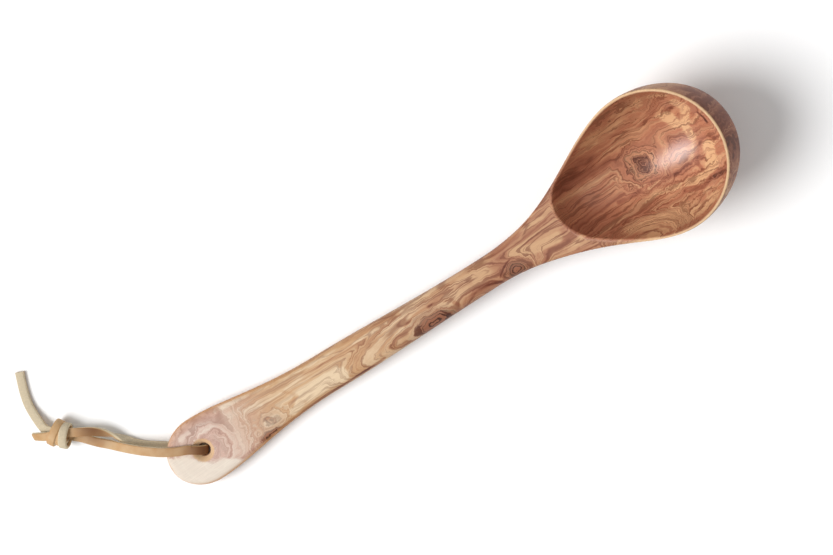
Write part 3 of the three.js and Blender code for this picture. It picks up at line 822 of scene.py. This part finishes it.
    # Fibres, in the colour and as a faint relief.
    size = (1 / FIBRE_LENGTH, 1 / FIBRE_WIDTH, 1 / FIBRE_WIDTH)
    fibre = add(tree, "ShaderNodeVectorMath", (point, size), operation="MULTIPLY")
    fibre = add(tree, "ShaderNodeTexNoise", {"Vector": fibre, "Scale": 1, "Detail": 3})
    shade = add(tree, "ShaderNodeMapRange", (fibre, *FIBRE_LEVELS))
    colour = add(tree, "ShaderNodeVectorMath", (colour, shade), operation="SCALE")
    links = {"Height": fibre, "Strength": FIBRE_STRENGTH, "Distance": FIBRE_RELIEF * MM}
    bump = add(tree, "ShaderNodeBump", links)
    # The hollow is polished, and the rest is satin from handling.
    sheen = add(tree, "ShaderNodeMapRange", (hollow, 0, 1, *WOOD_ROUGHNESS))
    gloss = add(tree, "ShaderNodeMapRange", (hollow, 0, 1, *WOOD_SPECULAR))
    looks = {"Base Color": colour, "Roughness": sheen, "Specular IOR Level": gloss, "Normal": bump}
    for name, node in looks.items():
        tree.links.new(result(node), shader.inputs[name])
    shader.inputs["IOR"].default_value = WOOD_IOR
    return material


# Leather lace

# Levels of the lace's middle over the paddle and on the floor, and how far they are from the paddle's
# middle.
LACE_HALF = 1
PADDLE_HALF = 3.9
OVER_PADDLE = PADDLE_TOP + SEAT_GAP + LACE_HALF
PADDLE_MIDDLE = PADDLE_TOP - PADDLE_HALF
ON_FLOOR = FLOOR_GAP + LACE_HALF
TOP_REACH = OVER_PADDLE - PADDLE_MIDDLE
UNDER_REACH = PADDLE_MIDDLE - ON_FLOOR

# Routes from the hole outwards, in millimetres: along the thong, across it, up, and the turn of
# the grain side from facing up, in degrees.
OVER_ROUTE = (
    (TOP_REACH, 0, OVER_PADDLE, 0),
    (TOP_REACH + 1, 0, OVER_PADDLE, 0),
    (8.8, 0.45, OVER_PADDLE, 0),
    (12, 1.3, OVER_PADDLE, 0),
    (16, 2.1, OVER_PADDLE, 0),
    (20.5, 2.8, OVER_PADDLE - 0.15, 0),
    (25, 3.2, 11, 0),
    (34, 3.6, 9.4, 0),
    (43, 3.4, 7.6, 0),
    (52, 2.8, 5.9, 0),
    (58.4, 2.5, 4.9, 0),
    (63.6, 1.9, 4.2, 0),
    (68.8, 1.1, 3.6, 0),
    (75.5, 0.8, 3.3, 0),
)
UNDER_ROUTE = (
    (UNDER_REACH, 0, ON_FLOOR, 180),
    (9.5, 0.3, ON_FLOOR, 180),
    (15, 1.2, ON_FLOOR, 180),
    (21, 1.9, ON_FLOOR, 180),
    (28.6, 2.4, ON_FLOOR, 180),
    (36, 2.5, ON_FLOOR + 0.1, 178),
    (41, 1.6, ON_FLOOR + 0.75, 160),
    (45, 0.2, 2.7, 125),
    (49, -1.2, 3.1, 90),
    (53.8, -2.4, 4.1, 50),
    (58.3, -3.2, 5.2, 20),
    (63, -3.3, 6.2, 5),
    (67.6, -2.8, 6.9, 0),
    (75.5, -1.7, 7.1, 0),
)
LONG_END_ROUTE = (
    (84.5, -0.8, 4.7, 180),
    (89.2, -2, 4.2, 180),
    (93.3, -5.6, 2.8, 180),
    (97.2, -10.2, 1.7, 180),
    (99.9, -14.7, ON_FLOOR + 0.25, 180),
    (102.2, -21, ON_FLOOR + 0.05, 180),
    (104.5, -30.5, ON_FLOOR + 0.05, 180),
)
SHORT_END_ROUTE = (
    (84.5, 0.8, 7.2, 0),
    (88.8, 1.6, 7, 20),
    (94.2, 2.3, 6.2, 35),
)
# Points along a strand, down through the hole and round a turn of the knot.
STRAND_POINTS = 24
BIGHT_POINTS = 25
TURN_POINTS = 36
# How far past the hole's axis the lace dips on its way down.
BIGHT_DIP = 1.1
# Where the grain side is darkened with painted shade, round the hole where the lace dives in and on the
# under strand beside the knot: place along the thong and across it, reach in millimetres, and strength.
PAINTED_SHADE_PLACES = ((0, 0, 21, 0.9), (0, 0, 50, 0.4), (61, -6, 17, 0.85))
# Steps round a corner of the lace's section, and the fold past which an edge stays sharp.
CORNER_STEPS = 3
CREASE = math.radians(60)
# The lace crowns where it is drawn round the knot.
KNOT_CORNER = 0.9
# Turns of the knot: place along the thong and across it, half width, half height, lean, and the
# turn of the grain side from facing out. The first and third show, the second closes the gap between
# them, and the last two are the core that shows in the knot's ends.
KNOT_TURNS = (
    (76.8, 0.2, 6.0, 4.7, 0.5, 180),
    (79.4, -0.4, 5.3, 4.1, 1.5, 0),
    (82.0, -0.9, 6.1, 4.7, 2.4, 0),
    (77.5, 0.1, 3.5, 2.7, 0.6, 180),
    (81.4, -0.6, 3.5, 2.7, 1.8, 0),
)
# Leather: grain mottle and flesh fibres in millimetres, drawn coarse enough to show, and the fibres'
# relief and its strength.
MOTTLE = 6
NAP = 0.7
NAP_RELIEF = 0.15
NAP_STRENGTH = 0.25
# Levels of noise between which the mottle and the nap come in, with the values there, where they
# aren't 0 and 1.
MOTTLE_LEVELS = (0.35, 0.8)
NAP_LEVELS = (0.3, 0.7, 0.86, 1.06)
# Places through the lace, from -1 on the flesh side to 1 on the grain side, over which the grain, the
# cut edge and the edge's tanned part come in.
GRAIN_FACE = (-0.2, 0.2)
CUT_FACE = (0.7, 0.98, 1, 0)
TANNED_FACE = (0, 0.8)
# Roughness of the flesh side and of the grain side, and the specular level of both.
LEATHER_ROUGHNESS = (0.95, 0.55)
LEATHER_SPECULAR = 0.25


def evened(route, count):
    """Stops of a route as evenly spaced points of a smooth curve through them."""
    stops = np.array(route, float)
    ends = np.vstack([2 * stops[0] - stops[1], stops, 2 * stops[-1] - stops[-2]])
    walk = np.linspace(0, len(stops) - 1, CURVE_POINTS)
    first = np.minimum(walk.astype(int), len(stops) - 2)
    t = (walk - first)[:, None]
    a, b, c, d = (ends[first + i] for i in range(4))
    curve = (2 * b + (c - a) * t + (2 * a - 5 * b + 4 * c - d) * t**2 + (3 * b - a - 3 * c + d) * t**3) / 2
    walked = np.concatenate([[0], np.cumsum(np.linalg.norm(np.diff(curve[:, :3], axis=0), axis=1))])
    marks = np.linspace(0, walked[-1], count)
    return [[float(np.interp(mark, walked, column)) for column in curve.T] for mark in marks]


def thong_point(along, across, up):
    """A point of the thong's own frame, in metres in the part's frame."""
    cosine, sine = math.cos(THONG_TURN), math.sin(THONG_TURN)
    x = HOLE.x + along * cosine - across * sine
    y = HOLE.y + along * sine + across * cosine
    return Vector((x, y, up)) * MM


def lace_tree():
    """Geometry Nodes that sweep the lace's flat section along a route, and keep which side of the
    lace each point is on."""
    tree = bpy.data.node_groups.new("lace_along_route", "GeometryNodeTree")
    tree.interface.new_socket("Route", in_out="INPUT", socket_type="NodeSocketGeometry")
    for name in ("Width", "Thickness", "Corner", "Step"):
        tree.interface.new_socket(name, in_out="INPUT", socket_type="NodeSocketFloat")
    tree.interface.new_socket("Leather", in_out="INPUT", socket_type="NodeSocketMaterial")
    tree.interface.new_socket("Lace", in_out="OUTPUT", socket_type="NodeSocketGeometry")
    given = add(tree, "NodeGroupInput").outputs

    smooth = add(tree, "GeometryNodeCurveSplineType", {"Curve": given["Route"]}, spline_type="CATMULL_ROM")
    links = {"Curve": smooth, "Length": given["Step"]}
    rail = add(tree, "GeometryNodeResampleCurve", links, mode="LENGTH")

    links = {"Width": given["Width"], "Height": given["Thickness"]}
    section = add(tree, "GeometryNodeCurvePrimitiveQuadrilateral", links)
    links = {"Curve": section, "Radius": given["Corner"], "Count": CORNER_STEPS}
    section = add(tree, "GeometryNodeFilletCurve", links, mode="POLY")
    spot = add(tree, "GeometryNodeInputPosition")
    height = add(tree, "ShaderNodeSeparateXYZ", (spot,)).outputs["Y"]
    half = add(tree, "ShaderNodeMath", (given["Thickness"], -0.5), operation="MULTIPLY")
    side = add(tree, "ShaderNodeMath", (height, half), operation="DIVIDE")
    links = {"Geometry": section, "Name": "lace_face", "Value": side}
    sided = add(tree, "GeometryNodeStoreNamedAttribute", links, data_type="FLOAT", domain="POINT")
    links = {"Curve": rail, "Profile Curve": sided, "Fill Caps": True}
    swept = add(tree, "GeometryNodeCurveToMesh", links)

    fold = add(tree, "GeometryNodeInputMeshEdgeAngle").outputs["Unsigned Angle"]
    crease = add(tree, "FunctionNodeCompare", (fold, CREASE), operation="GREATER_THAN")
    links = {"Geometry": swept, "Name": "sharp_edge", "Value": crease}
    sharp = add(tree, "GeometryNodeStoreNamedAttribute", links, data_type="BOOLEAN", domain="EDGE")
    whole = add(tree, "GeometryNodeRealizeInstances", {"Geometry": sharp})
    painted = add(tree, "GeometryNodeSetMaterial", {"Geometry": whole, "Material": given["Leather"]})
    add(tree, "NodeGroupOutput", {"Lace": painted})
    return tree


def lace(name, route, turns, twist="Z_UP", looped=False, corner=None):
    """A piece of lace along points in metres, each with its turn of the grain side."""
    look = bpy.context.scene.thong_finish
    line = bpy.data.curves.new(name + "_route", "CURVE")
    line.dimensions = "3D"
    line.twist_mode = twist
    spline = line.splines.new("POLY")
    spline.points.add(len(route) - 1)
    for spot, place, turn in zip(spline.points, route, turns):
        spot.co = (*place, 1)
        spot.tilt = -math.radians(turn)
    spline.use_cyclic_u = looped
    drawn = new_object(name + "_route", line)
    tree = bpy.data.node_groups.get("lace_along_route") or lace_tree()
    leather = bpy.data.materials.get("thong_leather_lace") or lace_leather()
    sweep = drawn.modifiers.new("lace", "NODES")
    sweep.node_group = tree
    values = {
        "Width": look.width, "Thickness": look.thickness, "Corner": corner or look.corner,
        "Step": look.step, "Leather": leather,
    }
    for item in tree.interface.items_tree:
        if item.item_type == "SOCKET" and item.name in values:
            sweep[item.identifier] = values[item.name]
    mesh = settled(drawn)
    bpy.data.objects.remove(drawn)
    spots = rows_of(mesh, "co")
    # Painted shade on the grain side, round the hole and beside the knot.
    grain_shading = np.zeros(len(spots))
    for along, across, reach, most in PAINTED_SHADE_PLACES:
        off = spots - np.array(thong_point(along, across, 0))
        grain_shading = np.maximum(grain_shading, most * (1 - ease(np.hypot(off[:, 0], off[:, 1]) / MM, 0, reach)))
    store(mesh, "grain_shading", grain_shading)
    mesh.name = name
    mesh.shade_smooth()
    return new_object(name, mesh)


def lace_leather():
    """Vegetable-tanned leather, split and cut into a flat lace: a smooth tan grain side with a soft
    mottle, a pale fibrous flesh side, and raw pale edges."""
    look = bpy.context.scene.thong_finish
    material = bpy.data.materials.new("thong_leather_lace")
    material.use_nodes = True
    tree = material.node_tree
    shader = tree.nodes["Principled BSDF"]
    place = add(tree, "ShaderNodeTexCoord").outputs["Object"]
    point = add(tree, "ShaderNodeVectorMath", (place, 1 / MM), operation="SCALE")
    face, grain_shading = (
        add(tree, "ShaderNodeAttribute", attribute_name=name).outputs["Fac"]
        for name in ("lace_face", "grain_shading")
    )
    mottle, fibre = (
        add(tree, "ShaderNodeTexNoise", {"Vector": point, "Scale": 1 / size, "Detail": 3})
        for size in (MOTTLE, NAP)
    )
    patch = add(tree, "ShaderNodeMapRange", (mottle, *MOTTLE_LEVELS))
    grain = add(tree, "ShaderNodeMix", (patch, look.grain, look.shade), data_type="RGBA")
    # The grain side is darkened with painted shade round the hole and beside the knot.
    grain = add(tree, "ShaderNodeMix", (grain_shading, grain, look.worn), data_type="RGBA")
    nap = add(tree, "ShaderNodeMapRange", (fibre, *NAP_LEVELS))
    flesh = add(tree, "ShaderNodeVectorMath", (look.flesh[:3], nap), operation="SCALE")
    top = add(tree, "ShaderNodeMapRange", (face, *GRAIN_FACE))
    colour = add(tree, "ShaderNodeMix", (top, flesh, grain), data_type="RGBA")
    # The raw edge is pale, but tanned towards the grain side.
    out = add(tree, "ShaderNodeMath", (face,), operation="ABSOLUTE")
    edge = add(tree, "ShaderNodeMapRange", (out, *CUT_FACE))
    tanned = add(tree, "ShaderNodeMapRange", (face, *TANNED_FACE))
    raw = add(tree, "ShaderNodeMix", (tanned, look.cut, look.shade), data_type="RGBA")
    colour = add(tree, "ShaderNodeMix", (edge, colour, raw), data_type="RGBA")
    dull = add(tree, "ShaderNodeMapRange", (top, 0, 1, *LEATHER_ROUGHNESS))
    links = {"Height": fibre, "Strength": NAP_STRENGTH, "Distance": NAP_RELIEF * MM}
    bump = add(tree, "ShaderNodeBump", links)
    for name, node in {"Base Color": colour, "Roughness": dull, "Normal": bump}.items():
        tree.links.new(result(node), shader.inputs[name])
    shader.inputs["Specular IOR Level"].default_value = LEATHER_SPECULAR
    return material


def joined(name, pieces):
    """Several pieces as one object of that name."""
    shell = bmesh.new()
    materials = pieces[0].data.materials[:]
    for piece in pieces:
        shell.from_mesh(piece.data)
    mesh = bpy.data.meshes.new(name)
    shell.to_mesh(mesh)
    shell.free()
    for material in materials:
        mesh.materials.append(material)
    for piece in pieces:
        bpy.data.objects.remove(piece)
    return new_object(name, mesh)


class LADLE_OT_thong(bpy.types.Operator):
    """Lay the lace from the hanging hole to the knot and its two free ends"""

    bl_idname = "ladle.thong"
    bl_label = "Leather thong"

    def execute(self, context):
        def strand(name, route):
            route = evened(route, STRAND_POINTS)
            points = [thong_point(*stop[:3]) for stop in route]
            return lace(name, points, [stop[3] for stop in route]), points

        angles = np.linspace(-QUARTER, QUARTER, BIGHT_POINTS)
        drop = []
        for angle in angles:
            reach = TOP_REACH if angle < 0 else UNDER_REACH
            along = reach - (reach + BIGHT_DIP) * math.cos(angle)
            drop.append(thong_point(along, 0, PADDLE_MIDDLE - reach * math.sin(angle)))
        bight = lace("lace_bight", drop, [0] * len(drop), twist="MINIMUM")
        finish_piece(bight, "thong", "thong_leather", "thong_bight")

        turns = []
        for along, across, half, tall, lean, turn in KNOT_TURNS:
            loop = []
            for angle in np.linspace(QUARTER, QUARTER + 2 * math.pi, TURN_POINTS, endpoint=False):
                c, s = math.cos(angle), math.sin(angle)
                loop.append(thong_point(along + lean * c, across + half * c, KNOT_MIDDLE + tall * s))
            turns.append(lace("lace_turn", loop, [turn] * len(loop), "MINIMUM", True, KNOT_CORNER * MM))
        knot = joined("lace_knot", turns)
        finish_piece(knot, "thong", "thong_leather", "thong_knot")

        short, _ = strand("lace_short_end", SHORT_END_ROUTE)
        finish_piece(short, "thong", "thong_leather", "thong_short_end")
        rows = (
            ("lace_over_strand", OVER_ROUTE, "thong_over_strand", "knot", [bight, knot]),
            ("lace_under_strand", UNDER_ROUTE, "thong_under_strand", "knot", []),
            ("lace_long_end", LONG_END_ROUTE, "thong_long_end", "bare", [short]),
        )
        for name, route, node, far_end, riders in rows:
            piece, points = strand(name, route)
            finish_piece(piece, "thong", "thong_leather", node)
        return {"FINISHED"}


# Where the looks of the carved body come and go, in millimetres: stations from the handle's end, levels
# up from the top line, places across it, and insets from the outline.
RIM_STATIONS = (262, 290)
RIM_LEVELS = (-1, -0.4)
RIM_INSETS = (0.6, 1.6)
EDGE_DEPTHS = (0.1, 1.4)
EDGE_STATIONS = (50, 110)
TANNED_ACROSS = (2, 9)
TANNED_STATIONS = (30, 60)
TANNED_INSETS = (1, 6)
LEAN_STATIONS = (235, 265)
TIP_STATIONS = (322, 346)
HOLLOW_RUN = (HOLLOW_START - 4, HOLLOW_START + 2)
# Cosines of the angle to the middle of the bowl's mouth between which a face counts as the hollow's.
HOLLOW_FACING = (0.1, 0.35)
# Round the hanging hole: distances from the countersink's mouth and from the bore, and its surround.
CONE_FADE = (-0.4, 0.3)
BORDER_FADE = (-1.2, -0.4)
BORE_FADE = (0, 0.6)
HOLE_SURROUND = 1
# Strengths of the painted shade on the handle's rounded edges, of the same tint on its upper edge and the
# countersink's border, of the pale cone, and of the painted shade outside the bowl's tip and in the bore.
EDGE_PAINTED_SHADE = 0.8
TANNED_TINT = 0.3
BORDER_TINT = 0.6
CONE_PALE = 0.85
TIP_PAINTED_SHADE = 0.8
BORE_PAINTED_SHADE = 1.6
# Least share of the way out from the bowl's middle to its outline, so that it can be divided by.
LEAST_OUT = 0.1


def carved_mesh(form, voxel, shift):
    """The body's blank with its hollow and its hole cut out and its edges softened."""
    carved = skin("carved_blank", form.blank(), shift)
    made = [carved]
    for name, rings in (("hollow", form.hollow()), ("hole", form.hole())):
        cutter = skin(name + "_cutter", rings, shift)
        made.append(cutter)
        cut = carved.modifiers.new(name, "BOOLEAN")
        cut.operation = "DIFFERENCE"
        cut.solver = "EXACT"
        cut.object = cutter
    soften = carved.modifiers.new("soften", "REMESH")
    soften.mode = "VOXEL"
    soften.voxel_size = voxel
    smooth = carved.modifiers.new("smooth", "SMOOTH")
    smooth.factor = SMOOTH_FACTOR
    smooth.iterations = SMOOTH_ROUNDS
    mesh = settled(carved)
    for obj in made:
        bpy.data.objects.remove(obj)
    return mesh


def wood_traits(form, shift, points, normals):
    """What the wood's material reads at points of the body, in millimetres: where it is rim, edge darkened
    by painted shade or hollow, its place across the growth rings, and its tone, painted shade included."""
    s = form.sizes
    station, across, up = form.unplace(points - shift)
    half = form.half_width(station)

    # Past the bowl's widest place, the inset is measured towards its middle.
    ahead = station - WIDEST_BOWL
    out = np.hypot(ahead / BOWL_FROM_TIP, across / (s["bowl_width"] / 2))
    from_tip = (1 / np.maximum(out, LEAST_OUT) - 1) * np.hypot(ahead, across)
    inset = np.where(ahead > 0, from_tip, half - np.abs(across))
    rim = ease(up, *RIM_LEVELS) * ease(station, *RIM_STATIONS) * (1 - ease(inset, *RIM_INSETS))
    # The handle's rounded edges are darkened with painted shade.
    edge = EDGE_PAINTED_SHADE * ease(-up, *EDGE_DEPTHS) * (1 - ease(station, *EDGE_STATIONS))
    tanned = (1 - ease(station, *TANNED_STATIONS)) * (1 - ease(inset, *TANNED_INSETS))
    edge = np.maximum(edge, TANNED_TINT * ease(across, *TANNED_ACROSS) * tanned)

    # The countersink shows paler wood inside a darker border, and its bore is darkened with painted shade.
    radius = np.hypot(station - HOLE_FROM_END, across)
    from_mouth, from_bore = radius - s["countersink"] / 2, radius - s["hole"] / 2
    cone = 1 - ease(from_mouth, *CONE_FADE)
    shaded_bore = 1 - ease(from_bore, *BORE_FADE)
    rim = np.maximum(rim, CONE_PALE * cone * (1 - shaded_bore))
    edge = np.where(from_mouth < HOLE_SURROUND, BORDER_TINT * ease(from_mouth, *BORDER_FADE) * cone, edge)

    # The hollow's faces look towards the middle of the bowl's mouth.
    inward = form.place(WIDEST_BOWL, [(0, 0)])[0] + shift - points
    inward /= np.linalg.norm(inward, axis=1, keepdims=True)
    facing = (inward * normals).sum(1)
    hollow = ease(facing, *HOLLOW_FACING) * ease(station, *HOLLOW_RUN) * (1 - rim)

    wider = np.maximum(half / (s["neck_width"] / 2), 1)
    lean = RING_LEAN * (1 - ease(station, *LEAN_STATIONS))
    grain = across * wider ** (-RING_SPREAD * (1 - hollow)) + lean * up
    # Outside the bowl's tip the wood is darkened with painted shade.
    tip = (1 - hollow) * (1 - rim) * ease(station, *TIP_STATIONS)
    tone = stroked(points) - TIP_PAINTED_SHADE * tip - BORE_PAINTED_SHADE * shaded_bore
    return {"rim": rim, "edge": edge, "hollow": hollow, "grain": grain, "tone": tone}


class LADLE_OT_body(bpy.types.Operator):
    """Carve the ladle's body, hollow its bowl and bore the hanging hole"""

    bl_idname = "ladle.body"
    bl_label = "Carved body"

    def execute(self, context):
        sizes = context.scene.ladle_body_sizes
        form = LadleForm(sizes)
        low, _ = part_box("ladle_body")
        shift = Vector((low.x / MM, HOLE.y, PADDLE_TOP))
        mesh = carved_mesh(form, sizes.voxel, shift)
        mesh.name = "carved_body"
        mesh.shade_smooth()
        mesh.materials.clear()
        mesh.materials.append(olive_wood())
        traits = wood_traits(form, np.array(shift), rows_of(mesh, "co") / MM, rows_of(mesh, "normal"))
        for name, values in traits.items():
            store(mesh, name, values)
        body = new_object("carved_body", mesh)
        finish_piece(body, "ladle", "olive_wood", "ladle_body")
        return {"FINISHED"}


# Studio

# The camera: place, right and up directions of the picture, and lens, as the photograph was taken.
CAMERA_PLACE = Vector((312.505, 40.137, 1117.061)) * MM
CAMERA_RIGHT = Vector((0.80551, -0.5508, -0.21857))
CAMERA_UP = Vector((0.52458, 0.83435, -0.16934))
CAMERA_LENS = 100
SENSOR = 36
# The key light and the softbox stand towards the handle's end, the softbox lower and nearer.
KEY_WAY = Vector((-0.875, 0.26, 1.31)).normalized()
SOFTBOX_WAY = Vector((-0.62, 0.15, 0.77)).normalized()
SOFTBOX_DISTANCE = 1.2
FLOOR_SIDE = 6
FLOOR_LEVEL = -0.2 * MM
FLOOR_ROUGHNESS = 0.9
FLOOR_SPECULAR = 0.1


class LADLE_OT_studio(bpy.types.Operator):
    """Set the camera, the key light, the white surroundings and the pale floor"""

    bl_idname = "ladle.studio"
    bl_label = "Studio"

    def execute(self, context):
        scene = context.scene
        look = scene.studio_light
        lens = bpy.data.cameras.new("camera")
        lens.lens = CAMERA_LENS
        lens.sensor_width = SENSOR
        lens.sensor_fit = "HORIZONTAL"
        camera = new_object("camera", lens)
        back = CAMERA_RIGHT.cross(CAMERA_UP)
        turn = Matrix((CAMERA_RIGHT, CAMERA_UP, back)).transposed().to_4x4()
        camera.matrix_world = Matrix.Translation(CAMERA_PLACE) @ turn
        scene.camera = camera

        key = bpy.data.lights.new("key_light", "SUN")
        key.energy = look.key
        key.angle = look.softness
        lamp = new_object("key_light", key)
        lamp.location = KEY_WAY
        lamp.rotation_euler = KEY_WAY.to_track_quat("Z", "Y").to_euler()
        lamp.visible_glossy = False
        gloss = bpy.data.lights.new("softbox", "AREA")
        gloss.energy = look.gloss
        gloss.shape = "DISK"
        gloss.size = look.softbox
        box = new_object("softbox", gloss)
        box.visible_diffuse = False
        box.location = SOFTBOX_WAY * SOFTBOX_DISTANCE
        box.rotation_euler = SOFTBOX_WAY.to_track_quat("Z", "Y").to_euler()

        world = bpy.data.worlds.new("white_room")
        world.use_nodes = True
        world.node_tree.nodes["Background"].inputs["Color"].default_value = (1, 1, 1, 1)
        world.node_tree.nodes["Background"].inputs["Strength"].default_value = look.fill
        scene.world = world
        scene.view_settings.view_transform = "Standard"

        paint = bpy.data.materials.new("floor_paint")
        paint.use_nodes = True
        shader = paint.node_tree.nodes["Principled BSDF"]
        shader.inputs["Base Color"].default_value = look.floor
        shader.inputs["Roughness"].default_value = FLOOR_ROUGHNESS
        shader.inputs["Specular IOR Level"].default_value = FLOOR_SPECULAR
        half = FLOOR_SIDE / 2
        corners = [(x * half, y * half, FLOOR_LEVEL) for x, y in ((-1, -1), (1, -1), (1, 1), (-1, 1))]
        mesh = bpy.data.meshes.new("floor")
        mesh.from_pydata(corners, [], [(0, 1, 2, 3)])
        mesh.materials.append(paint)
        new_object("floor", mesh)
        return {"FINISHED"}


class LADLE_PT_panel(bpy.types.Panel):
    """The ladle's pieces in the 3D view's sidebar"""

    bl_label = "Ladle"
    bl_idname = "LADLE_PT_panel"
    bl_space_type = "VIEW_3D"
    bl_region_type = "UI"
    bl_category = "Ladle"

    def draw(self, context):
        for name in ("ladle.studio", "ladle.thong", "ladle.body"):
            self.layout.operator(name)
        for key, group in SETTINGS.items():
            box = self.layout.box()
            box.label(text=group.__doc__)
            for field in group.__annotations__:
                box.prop(getattr(context.scene, key), field)


SETTINGS = {
    "ladle_body_sizes": LadleBodySizes,
    "olive_wood_finish": OliveWoodFinish,
    "thong_finish": ThongFinish,
    "studio_light": StudioLight,
}
CLASSES = (*SETTINGS.values(), LADLE_OT_studio, LADLE_OT_thong, LADLE_OT_body, LADLE_PT_panel)


def register():
    for cls in CLASSES:
        bpy.utils.register_class(cls)
    for key, group in SETTINGS.items():
        setattr(bpy.types.Scene, key, PointerProperty(type=group))


def unregister():
    for key in SETTINGS:
        delattr(bpy.types.Scene, key)
    for cls in reversed(CLASSES):
        bpy.utils.unregister_class(cls)


def main():
    register()
    bpy.ops.ladle.studio()
    bpy.ops.ladle.thong()
    bpy.ops.ladle.body()


if __name__ == "__main__":
    main()
